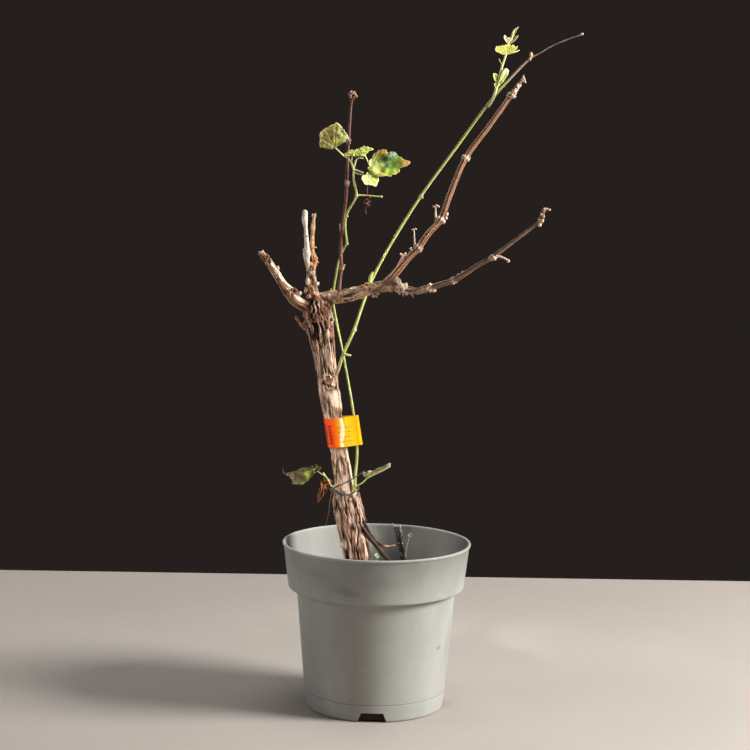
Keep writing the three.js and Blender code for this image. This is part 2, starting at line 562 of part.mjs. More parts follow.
const tie = tieWire();
add('tie_wire', tie, { color: 0x2c2e30, roughness: 0.45, metalness: 0.3 });
add('colour_band', colourBand(), { color: 0xf06a1e, roughness: 0.35 });
add('low_left_leaf', seated(lowLeftLeaf(), trunk.grown), leaf);
add('low_right_leaf', seated(lowRightLeaf(), trunk.grown, leftShoot.grown), leaf);
add('dead_leaf', deadLeaf(), dryLeaf);
add('upper_root', seated(upperRoot.solid, trunk.grown), darkRoot);
add('lower_root', seated(lowerRoot.solid, trunk.grown).intersect(ground), darkRoot);
add('cane_foot', caneFoot.solid.intersect(ground), darkRoot);
add('foot_shoot', seated(footShoot(), caneFoot.grown), green);

export default vine;
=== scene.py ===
# The looks of a young potted grapevine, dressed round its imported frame: shaggy bark, canes,
# green shoots, leaves and roots, with their pot, potting mix, tie wire and colour band.
# Limbs and leaves are given in millimetres in the frame's own axes, as the part's source
# gives them, and every mesh is in metres.

import math
import random
from collections import namedtuple
from math import acos, atan2, copysign, cos, exp, hypot, pi, radians, sin, sqrt

import bmesh
import bpy
from mathutils import Matrix, Vector, noise


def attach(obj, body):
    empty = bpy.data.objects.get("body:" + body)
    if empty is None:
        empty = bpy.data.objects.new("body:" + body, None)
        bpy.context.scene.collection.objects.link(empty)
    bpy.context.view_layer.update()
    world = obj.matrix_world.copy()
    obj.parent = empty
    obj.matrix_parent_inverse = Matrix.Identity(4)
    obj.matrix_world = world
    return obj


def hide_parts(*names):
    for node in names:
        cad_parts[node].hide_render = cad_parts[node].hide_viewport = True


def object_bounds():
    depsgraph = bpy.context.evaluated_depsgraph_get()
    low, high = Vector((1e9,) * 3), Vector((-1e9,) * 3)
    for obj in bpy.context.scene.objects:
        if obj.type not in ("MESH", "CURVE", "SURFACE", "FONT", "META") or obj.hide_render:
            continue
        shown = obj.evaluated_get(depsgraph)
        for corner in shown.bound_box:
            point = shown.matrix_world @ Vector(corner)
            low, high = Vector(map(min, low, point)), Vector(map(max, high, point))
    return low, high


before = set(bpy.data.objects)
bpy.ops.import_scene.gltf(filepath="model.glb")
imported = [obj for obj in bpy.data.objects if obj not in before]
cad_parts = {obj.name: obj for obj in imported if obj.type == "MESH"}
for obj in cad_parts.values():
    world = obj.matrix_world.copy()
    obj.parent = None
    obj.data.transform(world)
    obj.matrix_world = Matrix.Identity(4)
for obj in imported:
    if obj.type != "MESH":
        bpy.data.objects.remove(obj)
cad_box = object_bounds()

MM = 0.001
FRONT = Vector((0, -1, 0))  # the side that faces the camera
KNOT_SPREAD = 2.6  # how far the swelling at a node of a cane reaches along it

# ---------- the limbs: stops of x, y, z, radius and swelling ----------

TRUNK = [
    (-14, -2, 124, 24), (-16.8, -2, 140, 19.5), (-19.8, -2, 155, 17), (-28.5, 0, 206, 16.1),
    (-36, 3, 240, 15.8), (-38.9, 4, 256, 12.2), (-41.5, 5, 275, 10.8), (-52.4, 6, 336, 10.6),
    (-55.6, 5, 357, 12), (-63.1, 3, 405, 11.9), (-68.6, 1, 440, 14.4), (-71.7, 0, 463, 15),
    (-73, 0, 474, 13), (-73.5, 0, 480, 8),
]
HEAD_SPLINTER = [(-82, -1, 438, 2.4), (-89.5, -3.5, 444, 2.1), (-95.6, -6, 452, 1.7), (-97.6, -6.4, 456, 1)]
SHOULDER_NUB = [(-62, -3, 446, 3), (-57, -5, 454, 3), (-56, -5.5, 460, 1.8)]

ARM = [
    (-78, 1, 472, 8.3), (-67.4, 2.5, 475.8, 7.8), (-50, 1, 478, 7.1), (-35, -5, 481.8, 6.9),
    (-19, -13, 486.5, 6.5), (-5, -20, 490.8, 5.9), (9, -26, 492.5, 5.7), (17.4, -30, 493, 7.6),
    (25, -33, 491.5, 4.6),
]
LEFT_STUB = [
    (-76, -1, 461, 6.8), (-88, -4, 467.6, 6.3), (-99, -8, 475.4, 6.2), (-105.6, -11, 484.8, 5.6, 0.8),
    (-113.2, -14, 495.4, 4.7), (-126, -18, 515.3, 3.9), (-137, -21, 529.2, 3.5),
]
LEFT_STUB_KNOT = [(-106, -13, 479, 3.5), (-103, -18, 485, 3.2)]
UPRIGHT_STUB = [
    (-75, 1, 464, 8), (-77.6, 3, 485.6, 5.4), (-78.8, 3, 493.2, 5.2),
    (-80.4, 3, 506.4, 4.7), (-80.6, 3, 514, 4.3),
]
UPRIGHT_STUB_LUMP = [(-79, 2, 490, 3.4), (-73.5, 0.5, 494.5, 2.6)]
GREY_SPUR = [
    (-82.5, 2.5, 508, 2.6), (-84.8, 0, 518, 3), (-85.2, -1, 527.5, 4.2), (-85.4, -2, 536, 2.8),
    (-86.4, -3, 547, 2.3, 0.5), (-86.8, -4, 556, 2.3), (-88, -5, 568, 3.3), (-87.8, -5, 576.3, 2.8),
]
TAN_SPUR = [
    (-79.5, 4, 509, 3.3), (-76.5, 5.5, 517, 3.1), (-79.4, 8, 532.7, 2.5),
    (-79.3, 10, 551.2, 2.2), (-77.8, 13, 572.1, 2.1),
]
THIN_CANE = [
    (-47, -3, 473, 3.2), (-47.3, -6.5, 486, 2.9), (-46.7, -3, 499, 2.7), (-45.4, 0, 511.6, 2.7, 0.8),
    (-46.4, 3, 528.1, 2.7), (-45.7, 6, 552.7, 2.6), (-44, 8, 565.7, 2.6), (-42.2, 10, 581.5, 2.5),
    (-40.7, 12, 609, 2.5, 0.8), (-39.7, 14, 650, 2.2), (-39.3, 15, 656.4, 2.2, 0.7),
    (-38.3, 16, 677.5, 2.1), (-36.3, 18, 703, 2.2), (-35.4, 18, 706.5, 4.2), (-34.9, 18, 714, 4),
]
THIN_CANE_BUDS = [
    [(-45.4, 0, 510.5, 1.8), (-41.2, -0.5, 515.5, 0.9)],
    [(-46, 6, 550, 1.3), (-48.2, 7, 562, 1.1)],
    [(-39.4, 15, 656, 1.6), (-36.9, 14.5, 659, 0.9)],
]
LONG_CANE = [
    (-14, -23, 484.5, 2.6), (-6.5, -27, 488.6, 3.4), (2, -31, 494.6, 4), (15, -36, 506.2, 4.2),
    (30.4, -36, 525.6, 4), (41.4, -36, 536.8, 3.8, 1.2), (53.7, -34, 554.2, 3.6),
    (66.2, -30, 568.5, 3.5, 1.5), (75.5, -26, 593.9, 3.4), (94, -17, 638.5, 3.2, 1.4),
    (121.5, -9, 677, 3), (144.7, -2, 710.4, 2.6, 1.4), (153.4, 0, 723.6, 1.9), (157.6, 1, 728.6, 1.8),
]
LONG_CANE_SPURS = [
    [(19, -36, 514, 2.2), (21, -37, 519, 1.8), (25, -37, 528, 1.5)],
    [(21.6, -37, 530.5, 1.2), (25, -37, 527.5, 1.6), (28.5, -37, 531.5, 1.2)],
    [(36.5, -36, 532, 1.8), (33, -38, 537, 1.3)],
    [(38, -36, 535, 1.6), (37.4, -35.5, 545, 0.9), (36.6, -35, 556.5, 0.7)],
    [(63, -30.5, 566, 1.6), (60.8, -31, 574, 0.9), (60.8, -31, 583, 0.8)],
]
LONG_CANE_LUMPS = [  # place, size and tone of the buds and scars on it
    ((35.2, -35, 557.4), (1.6, 1.2, 1), 0.9), ((38.2, -35, 558.2), (1.4, 1.2, 1.1), 0.8),
    ((58.8, -31, 583.8), (1.6, 1.3, 1.1), 0.9), ((61.6, -31, 585), (1.7, 1.3, 1.2), 1),
    ((63.8, -31, 583.6), (1.2, 1.1, 1.1), 0.8), ((73.2, -30, 575.6), (1.8, 1.6, 2.4), 0.9),
    ((72.4, -30.5, 571), (2, 1.7, 2.2), 1), ((70.4, -31, 566.6), (1.6, 1.5, 2), 0.9),
    ((62, -31, 567.6), (2.2, 1.8, 2), 0.4), ((41, -38, 534.5), (2, 1.4, 1.7), 0.3),
    ((96.6, -19, 637), (1.8, 1.6, 2.2), 0.8), ((91.4, -19, 640.4), (1.6, 1.4, 1.8), 0.6),
]
LOW_CANE = [
    (19, -31, 492, 4.2), (31, -36, 489.3, 3.8), (42.1, -40, 488.7, 3.7), (56.1, -45, 493.1, 3.5, 1),
    (68.4, -50, 497.5, 3.3), (80.9, -54, 501.8, 3.1, 0.6), (93, -59, 509.3, 3),
    (108.1, -64, 519.9, 2.6), (123.4, -68, 529, 2.5, 0.8), (138.4, -71, 540.9, 2.2),
    (168.4, -76, 564.6, 1.9), (174.5, -77, 569.4, 1.8, 0.8), (177.4, -78, 579, 1.8), (180.6, -79, 582.8, 1.5),
]
LOW_CANE_SPURS = [
    [(29, -36, 490, 2.6), (28.6, -36.5, 497.3, 1.6)],
    [(124, -68, 529, 1.7), (131, -70, 530, 1.3), (141, -71, 525.5, 1.1)],
]

LEFT_SHOOT = [
    (-31, -2, 243, 2.9), (-26.4, -5, 258, 2.3), (-25.9, -5, 270.6, 2.1), (-24.3, -5, 300, 1.85),
    (-29, -4, 343, 1.65), (-35.4, -2, 378.8, 1.55), (-43.3, 1, 417.9, 1.5), (-47.5, 4, 436.5, 1.55),
    (-51.7, 9, 454, 1.9), (-54.7, 13, 470, 2), (-54.2, 13.5, 486, 1.7), (-51.2, 11.5, 506.4, 1.6),
    (-49.2, 10, 517.5, 1.5), (-46, 9.4, 527, 1.5), (-43, 8, 534, 1.5), (-39.9, 4.5, 539.5, 1.5, 0.5),
    (-41.6, 2.4, 558, 1.5), (-40.8, 2.4, 571.7, 1.5, 0.3), (-38.2, 1.2, 577.6, 1.5),
    (-29.2, -5, 594.8, 1.5, 0.7), (-31, -7, 606, 1.6),
]
LEFT_SHOOT_TENDRIL = [
    (-29.2, -5, 595, 1.2), (-24, -4.4, 595.2, 0.8), (-14.2, -3, 594.8, 0.75), (-1, -1, 593.8, 0.8),
]
LEFT_SHOOT_BUD = [(-53.6, 12.4, 476, 1.6), (-56, 11, 481, 1.3), (-57.4, 10, 487, 0.6)]
RIGHT_SHOOT = [
    (-56, -1, 383, 3), (-49.4, -6, 390.2, 2.6), (-47, -10, 396, 2.3), (-41.3, -14, 414.1, 2.15),
    (-29.7, -13, 441.3, 2.15, 0.5), (-21, -5, 468, 2.1), (-16, -0.5, 482.4, 2.1), (-10.2, 3.5, 498.1, 2.05),
    (8.4, 8, 534.8, 2), (44.7, 12, 594.9, 1.95, 0.7), (82.4, 11, 648.4, 2), (123.1, 5, 705.7, 1.9),
    (141.4, 1, 727.2, 1.8), (160.1, -3, 747.2, 1.5), (165.5, -4, 752.2, 1.5, 0.3), (167.2, -4, 757.5, 1.7),
]
RIGHT_SHOOT_STUBS = [
    [(-41, -14.5, 413.5, 1.7), (-34, -18, 412.5, 1.2)],
    [(118, 6, 698, 1.4), (125.5, 2.5, 707.5, 0.6)],
    [(-12.5, 2, 494, 1.6), (-12, 0.5, 501, 2), (-9, 1, 507.5, 1)],
]
TIP_TENDRIL = [
    (165, -4, 752.5, 1), (174.7, -5, 757.4, 0.8), (186.5, -8, 764.5, 0.7),
    (199.2, -11, 770.5, 0.7), (217, -15, 777.2, 0.8), (222.5, -16, 779.3, 1.4),
]

UPPER_ROOT = [
    (-23, -7, 229, 1.6), (-17.6, -6.5, 220, 2), (-13, -5, 212, 2.1), (-6, -1, 199, 2.1),
    (2.4, 3, 190.4, 1.9), (9.7, 7, 185.6, 1.5), (21.3, 12, 186, 0.8),
]
LOWER_ROOT = [
    (-22, -9, 218, 1.8), (-16, -9, 209.6, 2.4), (-11, -8, 202, 2.6), (-1.2, -4, 189.4, 2.6),
    (12.4, 2, 172.4, 2.3), (25.7, 8, 156.7, 2), (41, 14, 133, 1.9),
]
CANE_FOOT = [
    [(39.5, 20.5, 133, 2.6), (30, 23, 170, 2.2), (21.2, 25, 207.2, 1.8)],
    [(42.5, 19.5, 133, 2.6), (33.6, 21.5, 170, 2.1), (26.2, 24, 207.4, 1.9)],
]
FOOT_SHOOT = [(34, 21, 168, 0.7), (35.4, 20, 181, 0.6), (38.4, 20, 193.5, 0.5), (39.2, 20, 196, 0.5)]

# Furrows of the trunk: heights with the turn from its front in degrees, then width and depth.
Furrow = namedtuple("Furrow", "path width depth")
TRUNK_FURROWS = [Furrow(*row) for row in (
    (((130, -4), (160, 2), (182, 9), (214, 34), (240, 37), (262, 52), (300, 58)), 1.5, 3.6),
    (((130, -42), (181, -31), (203, -11), (220, -12), (244, -3)), 1.2, 2.8),
    (((226, -24), (240, -23), (256, -20)), 0.8, 1.6),
    (((262, -8), (276, -16), (292, -12)), 0.7, 1.4),
    (((338, -40), (352, -44), (370, -42)), 0.8, 1.8),
    (((336, -14), (350, -16), (362, -12)), 0.9, 1.9),
    (((372, 4), (392, 6), (418, 13), (440, 14), (456, 10)), 1.3, 3),
    (((372, 56), (394, 56), (430, 60)), 1, 2.4),
    (((384, -26), (412, -26), (446, -36)), 0.8, 1.8),
    (((396, -4), (420, -8), (450, -14)), 0.7, 1.5),
    (((140, 60), (180, 75), (220, 88), (262, 96)), 1.4, 2.6),
    (((140, -84), (190, -76), (240, -70), (300, -72)), 1.3, 2.4),
    (((150, 130), (210, 142), (280, 136)), 1.5, 3),
    (((130, -140), (200, -128), (260, -132), (330, -126)), 1.5, 3),
    (((300, 120), (360, 112), (430, 118)), 1.2, 2.6),
    (((320, -100), (380, -106), (450, -98)), 1.2, 2.4),
    (((200, 178), (290, 170), (380, 178), (450, 172)), 1.4, 3),
)]
Burr = namedtuple("Burr", "height turn tall wide rise")
TRUNK_BURR = Burr(height=380, turn=0, tall=10, wide=10.5, rise=1.8)


# ---------- small sums ----------


def tint(red, green, blue):
    """A colour given from 0 to 255 a channel, as a screen shows it, made linear for a shader."""

    def linear(byte):
        share = byte / 255
        return share / 12.92 if share <= 0.04045 else ((share + 0.055) / 1.055) ** 2.4

    return (linear(red), linear(green), linear(blue), 1)


def clamped(value):
    return min(1, max(0, value))


def smoothstep(low, high, value):
    share = clamped((value - low) / (high - low))
    return share * share * (3 - 2 * share)


def between(first, second, share):
    return first + (second - first) * share


def along_steps(steps, where):
    """The value at a place, from a list of (place, value) in rising order."""
    if where <= steps[0][0]:
        return steps[0][1]
    for (low, first), (high, second) in zip(steps, steps[1:]):
        if where <= high:
            return between(first, second, smoothstep(low, high, where))
    return steps[-1][1]


def curve_point(points, share):
    """A point of the centripetal curve through the points; the radius follows along with it."""
    last = len(points) - 1
    index = min(int(share * last), last - 1)
    step = share * last - index
    start, end = points[index], points[index + 1]
    before = points[index - 1] if index else start * 2 - end
    after = points[index + 2] if index + 2 <= last else end * 2 - start
    gaps = [
        max(1e-4, (second.xyz - first.xyz).length ** 0.5)
        for first, second in ((before, start), (start, end), (end, after))
    ]
    middle = (end - start) / gaps[1]
    leave = ((start - before) / gaps[0] - (end - before) / (gaps[0] + gaps[1]) + middle) * gaps[1]
    arrive = (middle - (after - start) / (gaps[1] + gaps[2]) + (after - end) / gaps[2]) * gaps[1]
    square, cube = step**2, step**3
    return (
        start * (2 * cube - 3 * square + 1)
        + leave * (cube - 2 * square + step)
        + end * (3 * square - 2 * cube)
        + arrive * (cube - square)
    )


# ---------- limbs ----------

Ring = namedtuple("Ring", "centre along front right radius reach share")


class Limb:
    """The line and the thickness of a limb, as rings worked out from its stops."""

    def __init__(self, stops, spacing):
        points = [Vector(stop[:4]) for stop in stops]
        last = len(points) - 1
        places, self.knots = [], []
        for i in range(last):
            pieces = max(1, round((points[i + 1].xyz - points[i].xyz).length / spacing))
            places += [curve_point(points, (i + k / pieces) / last) for k in range(pieces)]
        places.append(curve_point(points, 1))
        reaches = [0.0]
        for here, there in zip(places, places[1:]):
            reaches.append(reaches[-1] + (there.xyz - here.xyz).length)
        self.length = reaches[-1]
        for stop in stops:
            if len(stop) > 4:
                nearest = min(range(len(places)), key=lambda k: (places[k].xyz - Vector(stop[:3])).length)
                self.knots.append((reaches[nearest], stop[4]))
        self.rings = []
        front = FRONT
        for i, place in enumerate(places):
            along = (places[min(i + 1, len(places) - 1)].xyz - places[max(i - 1, 0)].xyz).normalized()
            front = (front - along * front.dot(along)).normalized()
            swelling = sum(
                swell * exp(-(((reaches[i] - knot) / KNOT_SPREAD) ** 2)) for knot, swell in self.knots
            )
            radius, share = place.w + swelling, reaches[i] / self.length
            self.rings.append(Ring(place.xyz, along, front, along.cross(front), radius, reaches[i], share))

    def place(self, reach, turn, lift=0.0):
        """The spot at a distance along the limb and a turn from its front, that far off its skin."""
        at = clamped(reach / self.length) * (len(self.rings) - 1)
        low = min(len(self.rings) - 2, int(at))
        here, there = self.rings[low], self.rings[low + 1]
        step = at - low
        centre = here.centre.lerp(there.centre, step)
        out = (here.front * cos(turn) + here.right * sin(turn)).normalized()
        return centre + out * (between(here.radius, there.radius, step) + lift), out, here.along


def new_mesh():
    """An empty mesh with the marks that the finishes read.

    hollow is how deep a spot lies, tone picks its colour, and grain is its place on the
    straightened limb, in millimetres, with the third value running along it. On wood and stems
    the finishes darken the hollows, partly as painted shade; on the pot the hollow mark is
    painted shade, and on leaves it marks the veins. Leaves carry their own colours as paint.
    """
    made = bmesh.new()
    made.verts.layers.float.new("hollow")
    made.verts.layers.float.new("tone")
    made.verts.layers.float_vector.new("grain")
    made.verts.layers.float_color.new("paint")
    made.verts.layers.int.new("placed")
    return made


def fresh_corners(mesh):
    """The corners that the last shape added to the mesh."""
    placed = mesh.verts.layers.int["placed"]
    fresh = [corner for corner in mesh.verts if not corner[placed]]
    for corner in fresh:
        corner[placed] = 1
    return fresh


def marks(mesh):
    floats = mesh.verts.layers.float
    return floats["hollow"], floats["tone"], mesh.verts.layers.float_vector["grain"]


def sleeve(mesh, sides, rings):
    """A closed unit cylinder cut into rings; its corners are moved to their places afterwards."""
    tube = bmesh.ops.create_cone(
        mesh, cap_ends=True, cap_tris=True, segments=sides, radius1=1, radius2=1, depth=2
    )
    if rings > 2:
        bmesh.ops.subdivide_edges(mesh, edges=uprights(tube["verts"]), cuts=rings - 2)
    return fresh_corners(mesh)


def uprights(corners):
    edges = {edge for corner in corners for edge in corner.link_edges}
    return [edge for edge in edges if abs(edge.verts[0].co.z - edge.verts[1].co.z) > 1]


def skin(mesh, limb, sides, relief, cut_tone=None):
    """A closed skin round a limb, raised and hollowed by a relief; cut_tone is for its two ends."""
    hollow_mark, tone_mark, grain_mark = marks(mesh)
    count = len(limb.rings)
    for corner in sleeve(mesh, sides, count):
        row = round((corner.co.z + 1) / 2 * (count - 1))
        ring = limb.rings[row]
        reach_out = hypot(corner.co.x, corner.co.y)
        turn = atan2(corner.co.y, corner.co.x)
        lift, hollow, tone = relief(ring, turn)
        if reach_out < 0.5:
            lift, hollow = -ring.radius, 0.15
            tone = tone if cut_tone is None else cut_tone
        radius = max(0.0, ring.radius + lift)
        out = ring.front * cos(turn) + ring.right * sin(turn)
        corner.co = (ring.centre + out * radius) * MM
        corner[hollow_mark] = hollow
        corner[tone_mark] = tone
        corner[grain_mark] = Vector((cos(turn) * radius, sin(turn) * radius, ring.reach))


def strip(mesh, spots, width, thickness, tone, hollow=0.0):
    """A flat strip through spots of (place, outward direction, direction along), tapered at its ends."""
    hollow_mark, tone_mark, grain_mark = marks(mesh)
    cube = bmesh.ops.create_cube(mesh, size=2)
    bmesh.ops.subdivide_edges(mesh, edges=uprights(cube["verts"]), cuts=len(spots) - 2)
    last = len(spots) - 1
    for corner in fresh_corners(mesh):
        share = (corner.co.z + 1) / 2
        place, out, along = spots[round(share * last)]
        across = along.cross(out)
        taper = 0.25 + 0.75 * sin(pi * min(0.9, max(0.1, share)))
        sideways = corner.co.x * width / 2 * taper
        grain = Vector((sideways, corner.co.y * thickness, share * last * 2.5))
        lift = corner.co.y * thickness / 2
        corner.co = (place + across * sideways + out * lift) * MM
        corner[hollow_mark] = hollow
        corner[tone_mark] = tone
        corner[grain_mark] = grain


def peeling(mesh, limb, draw, reach, turn, length, width, lifts, tone):
    """A strip of bark that lies along a limb and comes away from it at its ends."""
    count = max(5, int(length / 2.5))
    drift = draw.uniform(-0.35, 0.35) * length / 40
    spots = []
    for i in range(count):
        share = i / (count - 1)
        lift = 0.15 + lifts[0] * (1 - share) ** 3 + lifts[1] * share**3
        wobble = 0.05 * sin(7 * share + turn * 5)
        spots.append(limb.place(reach + share * length, turn + drift * share + wobble, lift))
    strip(mesh, spots, width, draw.uniform(0.45, 0.8), tone, draw.uniform(0, 0.25))


def peelings(mesh, limb, seed, count, zone, turns, lengths, widths, curl):
    """Strips of bark strewn over one zone of a limb."""
    draw = random.Random(seed)
    for _ in range(count):
        length = draw.uniform(*lengths)
        reach = draw.uniform(zone[0], max(zone[0], zone[1] - length))
        turn = radians(draw.uniform(*turns))
        lifts = (draw.uniform(0, curl) ** 1.5, draw.uniform(0, curl) ** 1.5)
        peeling(mesh, limb, draw, reach, turn, length, draw.uniform(*widths), lifts, draw.random())


def shreds(mesh, place, aim, draw, count, lengths, widths, spread, tone):
    """A tuft of torn fibres that fan out from one place."""
    for _ in range(count):
        turn = Vector([draw.uniform(-spread, spread) for _ in range(3)])
        heading = (Vector(aim).normalized() + turn).normalized()
        out = heading.orthogonal().normalized()
        length = draw.uniform(*lengths)
        start = Vector(place) + Vector([draw.uniform(-2, 2) for _ in range(3)])
        sag = draw.uniform(-0.12, 0.12)
        spots = []
        for i in range(6):
            share = i / 5
            spots.append((start + heading * (length * share) + out * (sag * length * share**2), out, heading))
        shade = clamped(tone + draw.uniform(-0.3, 0.3))
        strip(mesh, spots, draw.uniform(*widths), draw.uniform(0.5, 0.9), shade)


def flake(mesh, corners, thickness, tone):
    """A flat three-cornered chip of wood."""
    tone_mark = marks(mesh)[1]
    bmesh.ops.create_circle(mesh, cap_ends=True, segments=3, radius=1)
    fresh = fresh_corners(mesh)
    for corner, place in zip(fresh, corners):
        corner.co = Vector(place) * MM
        corner[tone_mark] = tone
    faces = list({face for corner in fresh for face in corner.link_faces})
    bmesh.ops.solidify(mesh, geom=faces, thickness=thickness * MM)
    for corner in fresh_corners(mesh):
        corner[tone_mark] = tone


def knob(mesh, place, size, tone, draw, roughness, fineness=2, hollow=0.0):
    """A small rough lump, such as a bud, a scar or the end of a snapped twig."""
    hollow_mark, tone_mark, grain_mark = marks(mesh)
    middle = Vector(place)
    bmesh.ops.create_icosphere(mesh, subdivisions=fineness, radius=1)
    shade = tone + draw.uniform(-0.12, 0.12)
    for corner in fresh_corners(mesh):
        spot = corner.co.copy()
        bump = 1 + roughness * noise.noise(spot * 2.2 + middle)
        corner[hollow_mark] = max(hollow, smoothstep(0.05, -0.25, bump - 1) * 0.6)
        corner[tone_mark] = clamped(shade + 0.2 * noise.noise(spot * 3))
        corner[grain_mark] = spot * 3
        corner.co = (middle + Vector([a * b * bump for a, b in zip(spot, size)])) * MM


def whorl(mesh, place, facing, radius, grain_size, tone, draw, count=9):
    """A broken ring of lumps round a dark hollow, as where a side shoot has come away."""
    middle, out = Vector(place), Vector(facing).normalized()
    side = out.orthogonal().normalized()
    other = out.cross(side)
    knob(mesh, middle, (radius * 0.8,) * 3, tone, draw, 0.3, hollow=0.95)
    for i in range(count):
        turn = 2 * pi * i / count + draw.uniform(-0.25, 0.25)
        reach = radius * draw.uniform(0.9, 1.15)
        spot = middle + (side * cos(turn) + other * sin(turn)) * reach + out * draw.uniform(0, 0.6)
        size = [grain_size * draw.uniform(0.75, 1.35) for _ in range(3)]
        knob(mesh, spot, size, tone, draw, 0.5)


# ---------- reliefs: each gives lift, hollow and tone for a ring and a turn ----------


def spot_on(ring, turn):
    """A place on the straightened limb, under its relief."""
    return Vector((cos(turn) * ring.radius, sin(turn) * ring.radius, ring.reach))


def drawn_out(spot, across, along):
    return Vector((spot.x / across, spot.y / across, spot.z / along))


def turned_apart(first, second):
    return (first - second + pi) % (2 * pi) - pi


def furrow_at(furrow, ring, turn):
    """How far into a furrow a spot of the trunk lies, from 0 to 1."""
    height = ring.centre.z
    low, high = furrow.path[0][0], furrow.path[-1][0]
    if not low - 8 < height < high + 8:
        return 0
    middle = radians(along_steps(furrow.path, height))
    middle += 0.05 * sin(height / 5.1) + 0.03 * sin(height / 2.3)
    width = furrow.width * (0.75 + 0.45 * noise.noise(Vector((height / 11, low, 0))))
    apart = abs(turned_apart(turn, middle)) * ring.radius / max(0.3, width)
    ends = smoothstep(low - 8, low + 6, height) * smoothstep(high + 8, high - 6, height)
    return exp(-(apart**2)) * ends


def split(cell):
    """The seam and the own number of the Voronoi cell a spot lies in, and how far up it the spot is."""
    near, centres = noise.voronoi(cell)
    return near[1] - near[0], noise.cell(centres[0] * 9.7), cell.z - centres[0].z


def shaggy(seed, plates, strips, plate, gap, fibre, lump, zone=None, furrows=(), burr=None, shade=None):
    """Bark in plates that are split into strips, with flaky places and smooth ones between them.

    plates and strips are (width, length) in mm, plate and gap how far they stand out and how
    deep the seams go, and zone gives (roughness, wildness) for a ring.
    """
    shift = Vector((seed * 7.31, seed * 3.17, seed * 5.71))

    def relief(ring, turn):
        spot = spot_on(ring, turn)
        rough, wild = zone(ring) if zone else (1, 0)
        bend = 0.22 * noise.noise(spot / 26 + shift) + (0.09 + 0.2 * wild) * noise.noise(spot / 8 - shift)
        bent = spot_on(ring, turn + bend)
        cell = drawn_out(bent, *plates) + shift
        edge, own, _ = split(cell)
        seam = 1 - smoothstep(0.02, 0.2, edge)
        cell = drawn_out(bent, *strips) - shift
        edge, piece_own, tilt = split(cell)
        crack = 1 - smoothstep(0.03, 0.32, edge)
        flaky = smoothstep(-0.3, 0.3, noise.noise(spot / 15 + shift * 2))
        threads = noise.noise(drawn_out(spot, 1.1, 13) - shift)
        fibres = noise.noise(drawn_out(spot, 0.5, 5) + shift)
        lift = lump * (1 + 2 * wild) * noise.noise(spot / (9 - 4 * wild) + shift)
        lift += rough * (plate * (own - 0.5) - gap * seam * (0.35 + 0.65 * flaky))
        lift += rough * flaky * (0.5 * plate * (piece_own - 0.4 + tilt) - 0.45 * gap * crack)
        lift += fibre * (fibres + 1.3 * threads)
        hollow = rough * (0.6 * seam * (0.3 + 0.7 * flaky) + 0.5 * crack * flaky)
        hollow += 0.25 * (1 - piece_own) * flaky + 0.35 * max(0, -threads - 0.05)
        tone = 0.12 + 0.4 * own + 0.28 * piece_own + 0.35 * noise.noise(spot / 13 - shift)
        for furrow in furrows:
            depth = furrow_at(furrow, ring, turn)
            lift -= furrow.depth * depth
            hollow = max(hollow, 1.15 * depth)
        if shade:
            tone = shade(ring, turn, tone)
        if burr:
            down = (ring.centre.z - burr.height) / burr.tall
            side = turned_apart(turn, radians(burr.turn)) * ring.radius / burr.wide
            off = hypot(down, side) + 0.12 * noise.noise(spot / 3)
            share = smoothstep(1.2, 0.75, off)
            rim = cos(off * 8 + 4 * noise.noise(spot / 4))
            pit = smoothstep(-0.15, -0.5, noise.noise(spot / 2.2 + shift))
            lift = between(lift, burr.rise * (1 - 0.7 * off**2) + 0.5 * rim + 0.5 * fibres - 1.2 * pit, share)
            hollow = between(hollow, 0.3 - 0.3 * rim + 0.9 * pit, share)
            tone = between(tone, 0.5, share)
        return lift, clamped(hollow), clamped(tone)

    return relief


def half_and_half(first, second, low, high):
    """One relief that gives way to another between two distances along the limb."""

    def relief(ring, turn):
        share = smoothstep(low, high, ring.reach)
        if share in (0, 1):
            return second(ring, turn) if share else first(ring, turn)
        return tuple(between(a, b, share) for a, b in zip(first(ring, turn), second(ring, turn)))

    return relief


def worn(seed, depth, cracks, lump, shade=None):
    """Bare weathered wood: smooth, with long fine cracks and soft lumps."""
    shift = Vector((seed * 5.3, seed * 2.9, seed * 8.1))

    def relief(ring, turn):
        spot = spot_on(ring, turn)
        grain = noise.noise(drawn_out(spot, 1.1, 14) + shift)
        line = abs(noise.noise(drawn_out(spot, 2.6, 30) - shift))
        crack = cracks * smoothstep(0.07, 0.0, line)
        lumps = noise.noise(spot / 7 + shift)
        lift = depth * grain + lump * lumps - 0.5 * crack
        hollow = clamped(0.9 * crack + 0.35 * max(0, -grain - 0.1))
        tone = clamped(0.5 + 0.7 * noise.noise(spot / 11 - shift))
        if shade:
            hollow, tone = shade(ring, turn, hollow, tone)
        return lift, hollow, tone

    return relief


def striped(seed, limb, ridges, depth, tips=(0, 0), scar=1.0):
    """A ripened or green cane: fine ridges along it, and pale scarred skin at its nodes."""
    shift = Vector((seed * 4.7, seed * 6.1, seed * 2.3))

    def relief(ring, turn):
        spot = spot_on(ring, turn)
        wave = sin(ridges * turn + 2.2 * noise.noise(spot / 22 + shift))
        skin_noise = noise.noise(spot / 2.2 + shift)
        lift = depth * wave + 0.4 * depth * skin_noise
        hollow = 0.32 - 0.3 * wave + 0.2 * skin_noise
        tone = 0.12 * skin_noise + 0.08
        for knot, _ in limb.knots:
            close = exp(-(((ring.reach - knot) / 4.2) ** 2))
            tone = max(tone, close * smoothstep(-0.5, 0.35, noise.noise(spot / 2.6 - shift)) * scar)
            lift += 0.35 * close * skin_noise
        if tips[1] > tips[0]:
            tone = max(tone, smoothstep(tips[0], tips[1], ring.share))
        return lift, clamped(hollow), clamped(tone)

    return relief


